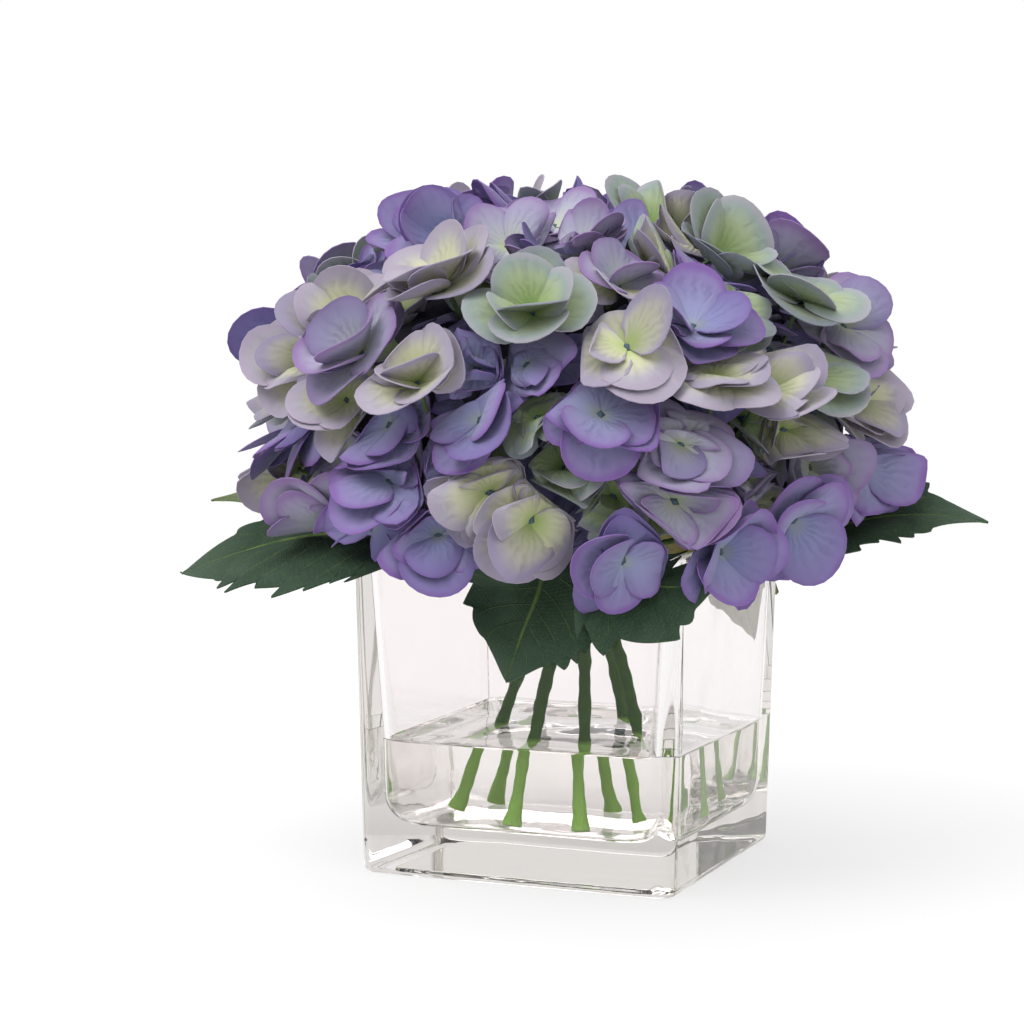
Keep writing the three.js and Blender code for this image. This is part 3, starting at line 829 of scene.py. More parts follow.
def leaf_sheet(leaf, phase):
    """A blade on two parameters: along its rib from base to tip, and across from edge to edge. Its half
    width is a sine of the share along, skewed to the base, and drawn in to a long smooth tip. Uneven saw
    teeth that lean to the tip are added to the edge, the cloth is quilted between slanting side veins,
    and the edge rolls and waves a little."""
    teeth, depth = leaf["teeth"]
    rows = ROWS_A_TOOTH * teeth + 1
    corners = [leaf["over"], *leaf["rib"]]
    fine, _ = smooth_path(corners, 400)
    first = np.argmin(np.linalg.norm(fine - np.array(leaf["rib"][0]), axis=1)) / (len(fine) - 1)
    share = np.linspace(0, 1, rows)
    centre, along = smooth_path(corners, first + (1 - first) * share)
    across = unit(np.cross(along, np.array(leaf["faces"], float)))
    normal = np.cross(across, along)
    h = np.linspace(-1, 1, LEAF_COLUMNS)
    h = np.sign(h) * np.abs(h) ** 0.9
    widths = np.array(leaf["halves"])[(h > 0).astype(int)]
    shape = np.sin(np.pi * np.minimum(share**0.72, 1)) ** 0.8 * (1 - 0.25 * share)
    to_tip = np.clip((share - DRIP_FROM) / (1 - DRIP_FROM), 0, 1)
    shape = shape * (1 - 0.45 * to_tip * (1 - share) / (1 - DRIP_FROM))
    shape[-1] = 0
    beat = share[:, None] * teeth + 0.3 * np.sin(9 * share[:, None] + phase + 1.3 * np.sign(h)[None])
    saw = beat % 1
    uneven = 0.7 + 0.3 * np.sin(2.4 * np.floor(beat) + phase + np.sign(h)[None])
    tooth = depth * uneven * np.where(saw < 0.8, saw / 0.8, (1 - saw) / 0.2)
    tooth = tooth * (np.minimum(share * 8, 1) * np.clip((DRIP_FROM + 0.12 - share) / 0.1, 0, 1))[:, None]
    side = np.abs(h)[None]
    spread = shape[:, None] * widths[None] + 1.4 * (1 - share[:, None])
    reach = h[None] * spread + np.sign(h)[None] * side**6 * tooth
    forward = side**6 * tooth * 0.8
    slant = share[:, None] * SIDE_VEINS - side * VEIN_SLANT
    quilt = 0.5 * np.abs(np.sin(np.pi * slant)) * np.sin(np.pi * side) * shape[:, None]
    wave = 0.9 * side**2 * np.sin(share[:, None] * 15 + phase + 1.5 * np.sign(h)[None])
    groove = -0.8 * np.exp(-((side / 0.12) ** 2)) * shape[:, None]
    lift = quilt + wave + groove - leaf["droop"] * spread * side + 0.05 * spread * side
    sheet = centre[:, None] + across[:, None] * reach[..., None] + along[:, None] * forward[..., None]
    sheet = sheet + normal[:, None] * lift[..., None]
    return sheet, share, h


def stalk_start(stem, towards):
    """The point of a stem's side, at the height of the leaf stalks, that is nearest to the leaf."""
    path, direction = smooth_path(stem_corners(stem), 200)
    at = np.argmin(np.abs(path[:, 2] - STALK_Z))
    outwards = np.array(towards) - path[at]
    outwards = unit(outwards - direction[at] * (outwards @ direction[at]))
    return path[at] + outwards * (STEM_RADIUS + 0.6)


def make_leaf(name, index, materials):
    """The blade as a thin closed shell, and its stalk as a tapered tube that runs on under the rib."""
    leaf = LEAVES[name]
    faces_to = np.array(leaf["faces"], float)
    sheet, share, h = leaf_sheet(leaf, 1.7 * index)
    rows, columns, _ = sheet.shape
    blade_points, blade_faces = shell(sheet[None], LEAF_THICK)
    across, along = np.broadcast_arrays(h[None] / 2 + 0.5, share[:, None])
    blade_map = np.tile(np.stack([across, along], axis=-1).reshape(-1, 2), (2, 1))
    corners = [stalk_start(leaf["stem"], leaf["over"]), leaf["over"], *leaf["rib"]]
    path, direction = smooth_path(corners, STALK_RINGS)
    taper = np.linspace(*STALK_RADII, STALK_RINGS)
    upper = np.cross(unit(np.cross(direction, faces_to)), direction)
    lowered = path - upper * STALK_UNDER
    stalk_points, stalk_faces = tube(lowered, direction, taper[:, None], 8, faces_to)
    points, faces = join([(blade_points, blade_faces), (stalk_points, stalk_faces)])
    leaf_map = np.concatenate([blade_map, np.full((len(stalk_points), 2), 0.5)])
    side = (rows - 1) * (columns - 1)
    lower = np.zeros(sum(len(group) for group in faces), int)
    lower[side : 2 * side] = 1
    add_piece(
        f"leaf_veined_{name}", points, faces, [materials[cloth] for cloth in leaf["cloth"]],
        [f"leaf_{name}"], marks={"leaf": leaf_map}, face_material=lower, crease=70,
    )


# Florets

# Front florets from the photograph: turn, rise and tone, and for those that stand out over the
# others how far they do
TOP_FLORETS = [
    (-29, 36, "cream", 4), (-8, 27, "green", 5), (9, 17, "cream", 6), (-42, 16, "lilac", 4),
    (-28, 8, "cream", 4), (55, 32, "green", 4), (65, 24, "lilac", 5), (4, 0, "violet", 5),
    (-15, -22, "cream", 6), (8, -39, "violet", 18), (43, 50, "green", 1), (-44, 54, "violet", 3),
    (22, 23, "violet", 4), (-60, 14, "cream", 3), (18, -8, "lilac", 4), (69, -18, "violet", 4),
    (-52, 24, "cream", 3), (35, 6, "cream", 3), (26, -38, "violet", 16), (-8, -30, "cream", 9),
    (17, -24, "lilac", 9), (44, -31, "violet", 8), (-35, -21, "violet", 4), (-42, -36, "violet", 8),
    (-26, -36, "violet", 9), (-54, -34, "lilac", 8), (24, 9, "cream", 6),
]
LOW_FLORETS = [
    (-57, 39, "violet"), (-20, 44, "lilac"), (5, 52, "lilac"), (29, 62, "violet"), (-52, 72, "violet"),
    (52, 53, "cream"), (59, 46, "violet"), (36, 23, "green"), (-18, 14, "violet"), (-8, 11, "violet"),
    (51, 10, "green"), (66, 0, "cream"), (40, -8, "cream"), (36, -17, "lilac"),
    (52, -20, "lilac"), (-58, 2, "violet"), (-43, 2, "cream"), (-50, -10, "lilac"), (-36, -11, "violet"),
    (-24, -15, "violet"), (-17, -3, "violet"), (-4, 2, "green"), (-3, -13, "green"),
    (-58, -30, "violet"), (-44, -34, "lilac"), (-30, -49, "lilac"), (16, -58, "violet"),
    (22, -26, "violet"), (34, -52, "violet"), (36, -28, "lilac"), (50, -24, "violet"),
]
TOP_COUNT = len(TOP_FLORETS)
PLACED = TOP_COUNT + len(LOW_FLORETS)

# A petal's grid: even columns, of which inner florets take every other one, and rows closer near the rim
ACROSS = np.linspace(-1, 1, 17)
ALONG = np.array([0.0, 0.42, 0.78, 1.0])
PETAL_LENGTH = 22.5
PETAL_THICK = 0.36
CLAW = 1.2

# An outer floret is two cloth crosses of four petals, the upper one smaller; an inner floret is one cross
PETALS = 8
INNER_PETALS = 4

# What differs from floret to floret and from petal to petal, as ranges of random draws. Fans, openings and
# bends are in degrees, turns and phases in radians, and the rest are shares
FLORET_RANGES = {
    "size": (0.92, 1.1),
    "open": (-4, 26),
    "bend": (-40, 22),
    "cup": (0.0, 0.45),
    "upper turn": (-0.5, 0.5),
}
PETAL_RANGES = {
    "size": (0.93, 1.06),
    "upper shorter": (0.02, 0.2),
    "fan": (68, 76),
    "open": (-6, 6),
    "pair open": (6, 13),
    "upper open": (8, 32),
    "bend": (-15, 15),
    "cup": (-0.2, 0.2),
    "phase": (0, 2 * np.pi),
    "waves": (0.03, 0.13),
    "roll": (-0.06, 0.12),
    "skew": (-0.12, 0.12),
    "turn": (-0.16, 0.16),
    "shade": (0, 1),
}

# Buds and twigs: rings and sides, and a twig's rings along its axis and their radii
BUD_GRID = (5, 8)
BUD_RADIUS = 1.75
BUD_HEIGHT = 1.6
TWIG_GRID = (4, 6)
TWIG_REACH = (1.2, -6, -16, -27)
TWIG_RADII = (0.9, 0.8, 0.9, 1.1)

# Spirals of florets: how many, from what sine of the rise and how far down, and the share of each tone
OUTER_COUNT = 270
INNER_COUNT = 260
INNER_DEPTH = 11
INNER_TURN = 40
GOLDEN_ANGLE = 137.508
SPIRAL_TOP = 0.99
SPIRAL_FALL = 1.87
TONE_SHARES = (0.36, 0.16, 0.29, 0.19)
STRAY_SHARES = (0.12, 0.76, 0.12)

# How far florets lean upwards at different rises of the dome, how far at random, how far they are moved
# out, and the turns between which the listed ones start to face the front
RISES = (-60, -40, -20, 0, 20, 50, 90)
LEANS = (0.15, 0.15, 0.35, 0.65, 0.7, 0.35, 0.0)
ASTRAY = (0.1, 0.85)
LIFTED = (-7, 0)
ASIDE = (20, 55)

# Florets stand at different heights, and the higher ones spread over their neighbours
NEAREST = 18.5
CLEAR_OF_FRONT = 0.85 * NEAREST
PUSH_ROUNDS = 40
FREE_PLACED = 0.1
FREE_REST = 0.4
LOWEST_RISE = -62
OVERLAP = 4
NEIGHBOURS = 14
SOFTNESS = (1.2, 0.4, 0.02, 0.02)
LAYER_FIRST = 0.45
LAYER_STEP = 0.6

# How low petals hang: over the vase, and beyond its sides from a first to a last distance
LOWEST_OVER = 122
LOWEST_BEYOND = 95
BEYOND_FROM = 8
BEYOND_TO = 26
SIDE_LEAVES = ("left", "right", "back_left")
OVER_LEAF = 1.5
LOW_SOFTNESS = 1.5


def dome_turns(points, grow):
    """Turn and rise of the dome's point that lies nearest each point, by the dome's own formula read
    backwards."""
    turn = np.degrees(np.arctan2(points[:, 1], points[:, 0])) - FRONT
    height = points[:, 2] - DOME_MIDDLE
    flat = np.hypot(points[:, 0], points[:, 1])
    above = np.degrees(np.arctan2(height / (DOME_UP + grow), flat / (DOME_RADIUS + grow)))
    below = np.degrees(np.arcsin(np.clip(height / DOME_DOWN, -0.99, 0)))
    return turn, np.where(height > 0, above, below)


def floret_places(rng):
    """The front florets, and the rest of the dome filled by golden-angle spirals, in which height falls
    evenly and each turn adds 137.5 degrees: one at the dome's own level, and one of inner florets below
    it. Outer spiral places too near a front floret are dropped, and then all push each other apart,
    each along its own level, until few are nearer than a floret's room.
    Returns turn, rise, tone number and depth of each."""
    front = [place[:3] for place in TOP_FLORETS] + LOW_FLORETS
    front = np.array([(turn, rise, TONES.index(name), 0) for turn, rise, name in front], float)
    outer = spiral(OUTER_COUNT, 0, rng)
    gap = dome_point(outer[:, 0], outer[:, 1])[:, None] - dome_point(front[:, 0], front[:, 1])[None]
    outer = outer[np.linalg.norm(gap, axis=2).min(axis=1) > CLEAR_OF_FRONT]
    inner = spiral(INNER_COUNT, INNER_DEPTH, rng)
    inner[:, 0] += INNER_TURN
    places = np.concatenate([front, outer, inner])
    free = np.full((len(places), 1), FREE_REST)
    free[:PLACED] = FREE_PLACED
    free[:TOP_COUNT] = 0
    turn, rise, depth = places[:, 0], places[:, 1], places[:, 3]
    for _ in range(PUSH_ROUNDS):
        points = dome_point(turn, rise, -depth)
        apart = points[:, None] - points[None]
        distance = np.linalg.norm(apart, axis=2) + 1e6 * np.eye(len(points))
        push = np.maximum(NEAREST - distance, 0)[..., None] * apart / distance[..., None]
        turn, rise = dome_turns(points + free * push.sum(axis=1), -depth)
        rise = np.clip(rise, LOWEST_RISE, 90)
    return np.stack([turn, rise, places[:, 2], depth], axis=-1)


def spiral(count, depth, rng):
    """Places on a golden-angle spiral from the top down, with random tones: turn, rise, tone, depth."""
    step = np.arange(count)
    rise = np.degrees(np.arcsin(SPIRAL_TOP - SPIRAL_FALL * (step + 0.5) / count))
    turn = (step * GOLDEN_ANGLE) % 360 - 180
    tone = rng.choice(len(TONES), count, p=TONE_SHARES)
    return np.stack([turn, rise, tone, np.full(count, depth)], axis=-1)


def floret_frames(turn, rise, depth, rng):
    """Each floret's middle and its three axes. The last axis is the way out of the dome, leaned upwards
    and by a random amount, and the other two are turned about it. Each is moved in or out by its own
    amount. The listed ones lean less at random, and of them those far round the side turn a
    little to the front."""
    count = len(turn)
    middle = dome_point(turn, rise, -depth)
    out = unit(middle - np.array([0, 0, DOME_HEART]))
    upwards = np.array([0.0, 0.0, 1.0]) - out * out[:, 2:]
    lift = np.interp(rise, RISES, LEANS)
    aside = smooth_step(np.abs(turn[:PLACED]), *ASIDE)
    lift[:TOP_COUNT] += 0.25 * smooth_step(rise[:TOP_COUNT], -10, 20)
    lift[:PLACED] *= 1 - 0.35 * aside
    facing = out.copy()
    facing[:PLACED] = unit(out[:PLACED] + around(0, 0.6, 0) * aside[:, None])
    astray = rng.uniform(*ASTRAY, count)
    astray[:TOP_COUNT] *= 0.7
    lean = rng.normal(size=(count, 3))
    lean = unit(lean - out * np.sum(lean * out, axis=1, keepdims=True))
    axis = unit(facing + upwards * lift[:, None] + lean * astray[:, None])
    first = unit(np.cross(axis, rng.normal(size=(count, 3))))
    second = np.cross(axis, first)
    lifted = rng.uniform(*LIFTED, count)
    lifted[:TOP_COUNT] = [place[3] - 1 for place in TOP_FLORETS]
    return keep_above(middle + out * lifted[:, None]), (first, second, axis)


def carried(middle, axes, amounts):
    """Points of many small shapes: the middle of each, and amounts along its three axes."""
    points = middle[:, None, None]
    for axis, amount in zip(axes, amounts):
        points = points + axis[:, None, None] * amount[..., None]
    return points


def soft_limit(distance, least, soft):
    """Keeps a distance above a least value, by the logarithm of one and an exponential: far above the
    least value nothing changes, and far below it only that value is left."""
    return least + soft * np.logaddexp(0, (distance - least) / soft)


def keep_apart(points, middle, axis, least):
    """Presses every floret's points into a room of its own. Between two florets stands a plane through
    the middle between them. Its normal is the line from one to the other, with the part of it along
    their shared axis made longer, so that a floret spreads over the ones that lie below it. Points near
    the plane or past it are drawn back softly along its normal, and at last held at a least distance."""
    apart = middle[None] - middle[:, None]
    distance = np.linalg.norm(apart, axis=2) + 1e6 * np.eye(len(middle))
    for soft in SOFTNESS:
        for near in np.argsort(distance, axis=1)[:, :NEIGHBOURS].T:
            towards = middle[near] - middle
            shared = unit(axis + axis[near])
            along = np.sum(towards * shared, axis=1, keepdims=True)
            normal = unit(towards + (OVERLAP - 1) * along * shared)[:, None]
            wall = ((middle + middle[near]) / 2)[:, None]
            inside = np.sum((wall - points) * normal, axis=2)
            points = points + normal * (inside - soft_limit(inside, least, soft))[..., None]
    return points


def smooth_step(value, low, high):
    """0 below low, 1 above high, and between them three squares less two cubes of the share."""
    share = np.clip((value - low) / (high - low), 0, 1)
    return share * share * (3 - 2 * share)


def keep_above(points):
    """Lifts points that would hang into the vase or its leaves: over the vase the lowest height is a
    little above the rim, and past its sides it falls smoothly to the lowest petals' height. Over a leaf
    that lies out to the side it is a little above the nearest point of the leaf's rib."""
    beyond = np.abs(points[..., :2]).max(axis=-1) - outer_half(VASE_HEIGHT)
    least = LOWEST_OVER + (LOWEST_BEYOND - LOWEST_OVER) * smooth_step(beyond, BEYOND_FROM, BEYOND_TO)
    for name in SIDE_LEAVES:
        leaf = LEAVES[name]
        rib, _ = smooth_path([leaf["over"], *leaf["rib"]], 24)
        gap = np.linalg.norm(points[..., None, :2] - rib[:, :2], axis=-1)
        roof = rib[gap.argmin(axis=-1), 2] + OVER_LEAF
        widest = max(leaf["halves"])
        share = 1 - smooth_step(gap.min(axis=-1), 0.6 * widest, 1.1 * widest)
        least = np.maximum(least, LOWEST_BEYOND + (roof - LOWEST_BEYOND) * share)
    lifted = points.copy()
    lifted[..., 2] = soft_limit(points[..., 2], least, LOW_SOFTNESS)
    return lifted


def petals(middle, axes, rng):
    """Eight petals a floret, as two crosses of four. A petal is a fan on two parameters: its angle across
    and its share along. The fan's reach falls off to the sides, fastest at its corners, which the eighth
    power of the share across rounds. It is bent along its length as an arc whose slope changes evenly
    from the claw to the rim, cupped across by the square of the distance from its midline, and its rim
    is waved by sines of the angle. In a cross one opposite pair stands over the other, and the upper
    cross is smaller, steeper and turned a little.
    Returns sheets, and each petal's shade and layer."""
    count = len(middle)
    every = (count * PETALS, 1, 1)

    def floret(what):
        """One draw a floret, which its petals share."""
        return np.repeat(rng.uniform(*FLORET_RANGES[what], count), PETALS).reshape(every)

    def petal(what):
        """One draw a petal."""
        return rng.uniform(*PETAL_RANGES[what], every)

    s = ACROSS[None, None, :]
    t = ALONG[None, :, None]
    upper = np.tile(np.repeat([0.0, 1.0], 4), count).reshape(every)
    pair = np.tile([0.0, 1.0], 4 * count).reshape(every)
    layer = 2 * upper + pair
    size = floret("size") * petal("size")
    length = PETAL_LENGTH * size * (1 - petal("upper shorter") * upper)
    spread = np.radians(petal("fan"))
    open_by = floret("open") + pair * petal("pair open")
    open_by = open_by + upper * petal("upper open")
    slope = np.radians(open_by + petal("open"))
    bend = np.radians(floret("bend") + petal("bend"))
    cup = floret("cup") + petal("cup")
    phase = petal("phase")
    waves = petal("waves")
    roll = petal("roll")
    skew = petal("skew")
    angle = spread * s
    reach = length * np.cos(angle) ** 0.75 * (1 + skew * s) * (1 + 0.03 * np.sin(5 * s + phase))
    reach = reach * (1 - 0.24 * s**8)
    r = CLAW + (reach - CLAW) * t
    x = r * np.sin(angle) * 1.04
    y = r * np.cos(angle)
    turn = np.where(np.abs(bend) < 0.02, 0.02, bend) / length
    way = (np.sin(slope + turn * y) - np.sin(slope)) / turn
    rise = (np.cos(slope) - np.cos(slope + turn * y)) / turn
    lift = cup * x**2 / length + waves * length * t**2 * np.sin(3.1 * angle + phase)
    lift = lift - roll * length * np.maximum(t - 0.6, 0) ** 2 / 0.16
    local_out = way - np.sin(slope + turn * y) * lift
    local_up = rise + np.cos(slope + turn * y) * lift + 0.5 * layer
    spin = np.tile(np.arange(PETALS) * np.pi / 2, count).reshape(every) + petal("turn")
    spin = (spin + upper * floret("upper turn"))[..., 0]
    origin, one, two, three = (np.repeat(value, PETALS, axis=0) for value in (middle, *axes))
    radial = one * np.cos(spin) + two * np.sin(spin)
    side = np.cross(three, radial)
    sheets = carried(origin, (radial, side, three), (local_out, x, local_up))
    return sheets, petal("shade").reshape(-1), layer.reshape(-1)


def floret_parts(middle, axes):
    """Buds and twigs. A bud is a small ball with four lobes, by a cosine of four times the turn, and a
    twig is a thin tube from the bud down into the core."""
    rows, sides = BUD_GRID
    tilt = np.linspace(0.15, np.pi * 0.72, rows)[None, :, None]
    turn = np.linspace(0, 2 * np.pi, sides, endpoint=False)[None, None, :]
    flat = np.sin(tilt) * (BUD_RADIUS * (1 + 0.2 * np.cos(4 * turn)))
    up = np.cos(tilt) * BUD_HEIGHT + 1.1
    buds = carried(middle, axes, (flat * np.cos(turn), flat * np.sin(turn), up))
    reach = np.array(TWIG_REACH)[None, :, None]
    thick = np.array(TWIG_RADII)[None, :, None]
    turn = np.linspace(0, 2 * np.pi, TWIG_GRID[1], endpoint=False)[None, None, :]
    twigs = carried(middle, axes, (thick * np.cos(turn), thick * np.sin(turn), reach))
    return buds, twigs


def stack_faces(count, rows, sides):
    """Faces of many closed ring stacks that run down, each with a flat cap of one face at either end."""
    one = grid_faces(rows, sides, ring=True)[:, ::-1]
    caps = np.stack([np.arange(sides), np.arange(sides)[::-1] + (rows - 1) * sides])
    step = (np.arange(count) * rows * sides)[:, None, None]
    return [(one[None] + step).reshape(-1, 4), (caps[None] + step).reshape(-1, sides)]


def petal_shells(sheets, florets, count, step, shade, tones):
    """The first petals of some florets as thin closed shells, with every step-th column of their grid.
    Returns the mesh, each point's map and shade, and each face's tone."""
    index = (florets[:, None] * PETALS + np.arange(count)).reshape(-1)
    chosen = sheets[index][:, :, ::step]
    points, faces = shell(chosen, PETAL_THICK)
    across, along = np.broadcast_arrays(ACROSS[None, ::step] / 2 + 0.5, ALONG[:, None])
    pairs = np.stack([across, along], axis=-1).reshape(-1, 2)
    petal_map = np.tile(pairs, (2 * len(index), 1))
    petal_shade = np.repeat(shade[index], len(points) // len(index))
    petal_tone = np.repeat(tones[index], len(faces) // len(index))
    return (points, faces), petal_map, petal_shade, petal_tone


def make_heads(cloths, bud, twig):
    """All florets of the dome, each given to the nearest head and joined into one piece a head."""
    rng = np.random.default_rng(SEED)
    turn, rise, tone, depth = floret_places(rng).T
    middle, axes = floret_frames(turn, rise, depth, rng)
    sheets, shade, layer = petals(middle, axes, rng)
    least = np.repeat(LAYER_FIRST + LAYER_STEP * layer, ALONG.size * ACROSS.size)
    by_floret = sheets.reshape(len(middle), -1, 3)
    by_floret = keep_apart(by_floret, middle, axes[2], least.reshape(len(middle), -1))
    sheets = keep_above(by_floret).reshape(sheets.shape)
    buds, twigs = floret_parts(middle, axes)
    centres = np.stack(list(HEAD_PLACES.values()))
    owner = np.linalg.norm(middle[:, None] - centres[None], axis=2).argmin(axis=1)
    stray = rng.choice([-1, 0, 1], (len(middle), 2), p=STRAY_SHARES)
    stray[:PLACED] = 0
    deep = depth > 0
    # Painted shade: the inner florets keep a quarter of their shade mark, so that their petals are painted
    # darker where the crevices between outer florets are shaded
    shade = np.where(np.repeat(deep, PETALS), 0.25 * shade, shade)
    tones = np.clip(tone[:, None] + stray, 0, len(TONES) - 1).astype(int)
    tones = np.repeat(tones, PETALS // 2, axis=1).reshape(-1)
    for number, name in enumerate(HEAD_PLACES):
        mine = np.flatnonzero(owner == number)
        outer = petal_shells(sheets, mine[~deep[mine]], PETALS, 1, shade, tones)
        inner = petal_shells(sheets, mine[deep[mine]], INNER_PETALS, 2, shade, tones)
        petal_map, petal_shade, petal_tone = (np.concatenate(pair) for pair in zip(outer[1:], inner[1:]))
        bud_faces = stack_faces(len(mine), *BUD_GRID)
        twig_faces = stack_faces(len(mine), *TWIG_GRID)
        small = [(buds[mine].reshape(-1, 3), bud_faces), (twigs[mine].reshape(-1, 3), twig_faces)]
        points, faces = join([outer[0], inner[0], *small])
        extra = len(points) - len(petal_map)
        finish = [petal_tone]
        finish += [np.full(len(group), len(TONES)) for group in bud_faces]
        finish += [np.full(len(group), len(TONES) + 1) for group in twig_faces]
        marks = {
            "petal": np.concatenate([petal_map, np.zeros((extra, 2))]),
            "shade": np.concatenate([petal_shade, np.full(extra, 0.5)]),
        }
        add_piece(
            f"florets_{name}", points, faces, [*cloths, bud, twig], [f"head_{name}"],
            marks=marks, face_material=np.concatenate(finish), crease=50,
        )


def make_core(material):
    """The middle of the bunch, painted dark as painted shade: the dome drawn in, with a lumpy surface of
    crossed sines.
    """
    rise = np.linspace(-84, 86, 40)[:, None]
    turn = np.linspace(0, 360, 72, endpoint=False)[None]
    lumps = 1 + 0.03 * np.sin(np.radians(turn * 9)) * np.sin(np.radians(rise * 11))
    middle = np.array([0, 0, DOME_MIDDLE])
    rings = middle + (dome_point(turn, rise) - middle) * CORE_SHARE * lumps[..., None]
    rings[..., 2] = soft_limit(rings[..., 2], LOWEST_OVER, LOW_SOFTNESS)
    points, faces = capped(rings, rings[0].mean(axis=0), rings[-1].mean(axis=0))
    add_piece("bunch_core", points, faces, [material])


# Stage

# The room's light on the pieces, to the camera, through glass and in mirrored rays
ROOM_LIGHT = 0.62
ROOM_SEEN = 1.0
GLASS_SEEN = 1.0
MIRROR_SEEN = 0.25

# Dark flags at both sides and in front of the vase, which the camera itself doesn't see: the way to each,
# where it starts and is full, as a cosine of the angle from that way, and how dark it is
SIDE_FLAG = (0.9253, 0.3791, 0.0)
SIDE_FROM = 0.72
SIDE_FULL = 0.94
SIDE_DARK = 0.7
FRONT_FLAG = (-0.3791, -0.9253, 0.0)
FRONT_FROM = 0.7
FRONT_FULL = 0.93
FRONT_DARK = 0.8

# Floor, in metres
FLOOR_RADIUS = 1.4
FLOOR_PALE = 0.32
FLOOR_GLOW = 0.6

# Lamps: place in metres, kind, power, and size, in degrees for a sun's spread and in metres for an area
LAMPS = {
    "sky": ((-0.25, -0.5, 1.2), "SUN", 1.8, 90),
    "key": ((-0.35, -0.85, 1.15), "AREA", 8, 0.8),
    "fill": ((1.0, -0.6, 0.7), "AREA", 2.5, 0.9),
    "rear": ((-0.4, 1.1, 0.9), "AREA", 5, 0.9),
}
LAMPS_AIM = (0, 0, 0.13)

# Camera, as fitted to the vase's edges in the photograph, in degrees, metres and millimetres of film
CAMERA_TURN = 22.28
CAMERA_RISE = 3.48
CAMERA_ROLL = 0.23
CAMERA_AWAY = 0.86625
CAMERA_RIGHT = -0.02148
CAMERA_UP = 0.12391
LENS = 84.375
SENSOR = 36


def set_up(thing, place, right, up, back):
    """Puts a lamp or the camera in its place, turned by its three axes."""
    bpy.context.scene.collection.objects.link(thing)
    turned = np.eye(4)
    turned[:3] = np.stack([right, up, back, place], axis=1)
    thing.matrix_world = Matrix(turned.tolist())


def make_camera():
    """The camera: its back axis from its turn and rise, and the other two rolled about it."""
    turn, rise, roll = np.radians([CAMERA_TURN, CAMERA_RISE, CAMERA_ROLL])
    level = np.array([np.cos(turn), np.sin(turn), 0])
    outwards = np.array([np.sin(turn), -np.cos(turn), 0])
    back = outwards * np.cos(rise) + np.array([0, 0, np.sin(rise)])
    steep = np.cross(back, level)
    right = np.cos(roll) * level + np.sin(roll) * steep
    up = np.cos(roll) * steep - np.sin(roll) * level
    lens = bpy.data.cameras.new("camera")
    lens.lens = LENS
    lens.sensor_width = SENSOR
    camera = bpy.data.objects.new("camera", lens)
    set_up(camera, back * CAMERA_AWAY + right * CAMERA_RIGHT + up * CAMERA_UP, right, up, back)
    bpy.context.scene.camera = camera


def make_floor():
    """A plain pale round floor with a glow of its own."""
    floor = bpy.data.meshes.new("floor")
    angle = np.linspace(0, 2 * np.pi, 96, endpoint=False)
    edge = FLOOR_RADIUS * np.stack([np.cos(angle), np.sin(angle), 0 * angle], axis=-1)
    floor.from_pydata(edge.tolist(), [], [list(range(len(edge)))])
    ground = bpy.data.objects.new("floor", floor)
    bpy.context.scene.collection.objects.link(ground)
    finish = Finish("floor_white")
    finish.surface(
        Base_Color=(FLOOR_PALE, FLOOR_PALE, FLOOR_PALE, 1),
        Roughness=0.9,
        Specular_IOR_Level=0.1,
        Emission_Color=(1, 1, 1, 1),
        Emission_Strength=FLOOR_GLOW,
    )
    floor.materials.append(finish.material)


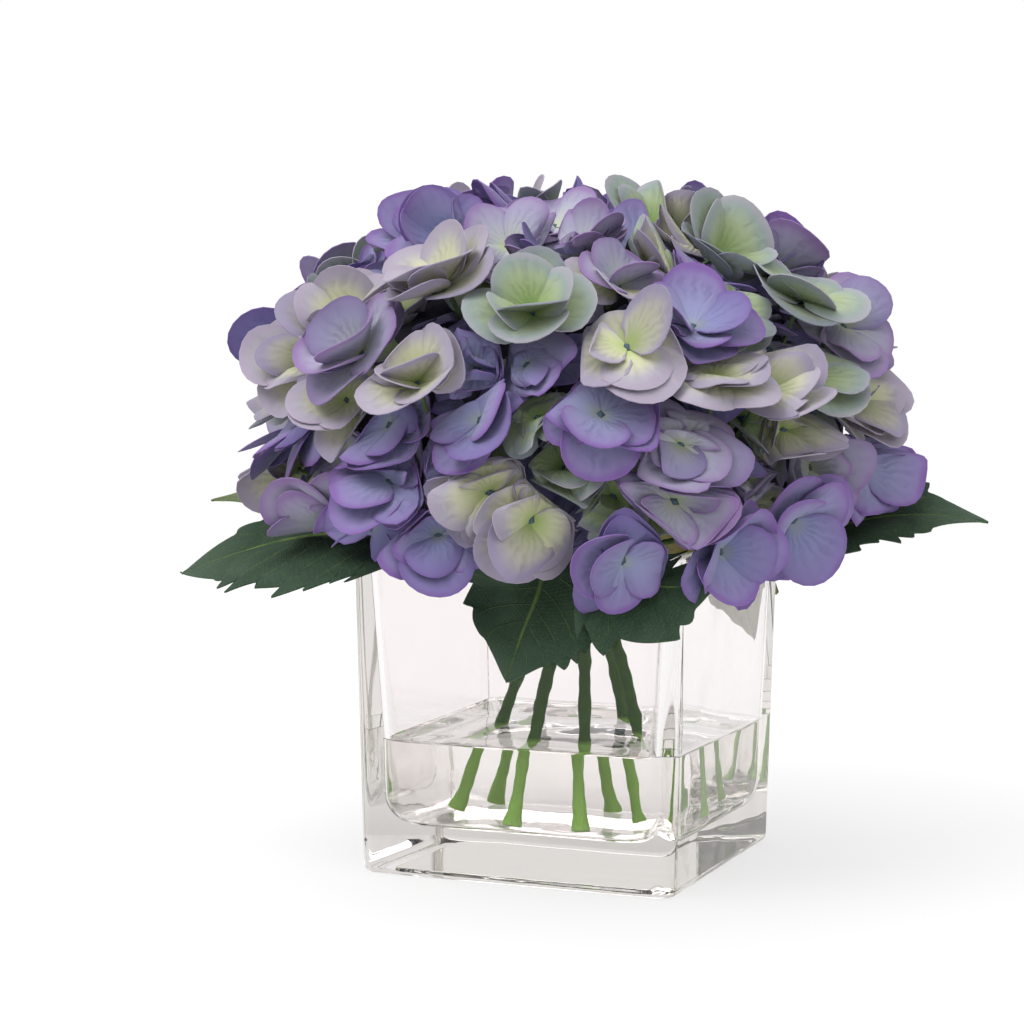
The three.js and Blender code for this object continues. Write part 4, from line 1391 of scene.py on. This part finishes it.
def make_room():
    """White light from all round, as strong as each kind of ray is given, and the dark flags in it."""
    world = bpy.data.worlds.new("room")
    bpy.context.scene.world = world
    world.use_nodes = True
    background = world.node_tree.nodes["Background"]
    background.inputs["Color"].default_value = (1, 1, 1, 1)
    room = Nodes(world.node_tree)
    ray = room.node("ShaderNodeLightPath")
    way = room.node("ShaderNodeTexCoord").out("Generated")
    seen = ray.out("Is Camera Ray")
    through = ray.out("Is Transmission Ray")
    mirrored = ray.out("Is Glossy Ray") * (1 - through)
    light = ROOM_LIGHT + seen * (ROOM_SEEN - ROOM_LIGHT) + through * (GLASS_SEEN - ROOM_LIGHT)
    light = light + mirrored * (MIRROR_SEEN - ROOM_LIGHT)
    sides = abs(room.dot(way, SIDE_FLAG)).between(SIDE_FROM, SIDE_FULL) * SIDE_DARK
    front = room.dot(way, FRONT_FLAG).between(FRONT_FROM, FRONT_FULL) * FRONT_DARK
    strength = light * (1 - sides.largest(front) * (1 - seen))
    world.node_tree.links.new(strength.socket, background.inputs["Strength"])


def make_lamps():
    """A wide soft sun and three large soft lamps, all aimed at the middle of the object."""
    for name, (place, kind, power, size) in LAMPS.items():
        light = bpy.data.lights.new(name, kind)
        light.energy = power
        if kind == "SUN":
            light.angle = np.radians(size)
        else:
            light.size = size
        back = unit(np.array(place) - np.array(LAMPS_AIM))
        right = unit(np.cross((0, 0, 1), back))
        set_up(bpy.data.objects.new(name, light), place, right, np.cross(back, right), back)


make_camera()
make_floor()
make_room()
make_lamps()
glass = clear_glass(
    "vase_glass", tint=(0.955, 0.932, 0.932, 1), ior=1.5, ripple=25.0,
    taken=(0.26, 0.2, 0.1, 1), density=3.0,
)
water = clear_glass(
    "set_water", tint=(0.985, 0.982, 0.975, 1), ior=1.4, ripple=70.0,
    taken=(0.5, 0.4, 0.2, 1), density=0.6,
)
make_vase(glass)
make_water(water)
stem_cloth = stem_plastic()
for number, stem in enumerate(STEM_FEET):
    make_stem(stem, number, stem_cloth)
leaf_cloths = {
    "dark": leaf_cloth("leaf_dark", colour(40, 61, 45), colour(98, 122, 64), colour(70, 91, 74)),
    "olive": leaf_cloth("leaf_olive", colour(84, 100, 56), colour(120, 136, 84), colour(98, 112, 70)),
    "pale": leaf_cloth("leaf_pale", colour(158, 150, 84), colour(196, 176, 70), colour(170, 162, 110)),
}
for number, name in enumerate(LEAVES):
    make_leaf(name, number, leaf_cloths)
make_core(core_painted_shade())
make_heads([petal_cloth(tone) for tone in TONES], bud_cloth(), twig_plastic())

bpy.context.scene.view_settings.view_transform = "Standard"
bpy.context.scene.cycles.max_bounces = 24
bpy.context.scene.cycles.glossy_bounces = 16
bpy.context.scene.cycles.transmission_bounces = 24
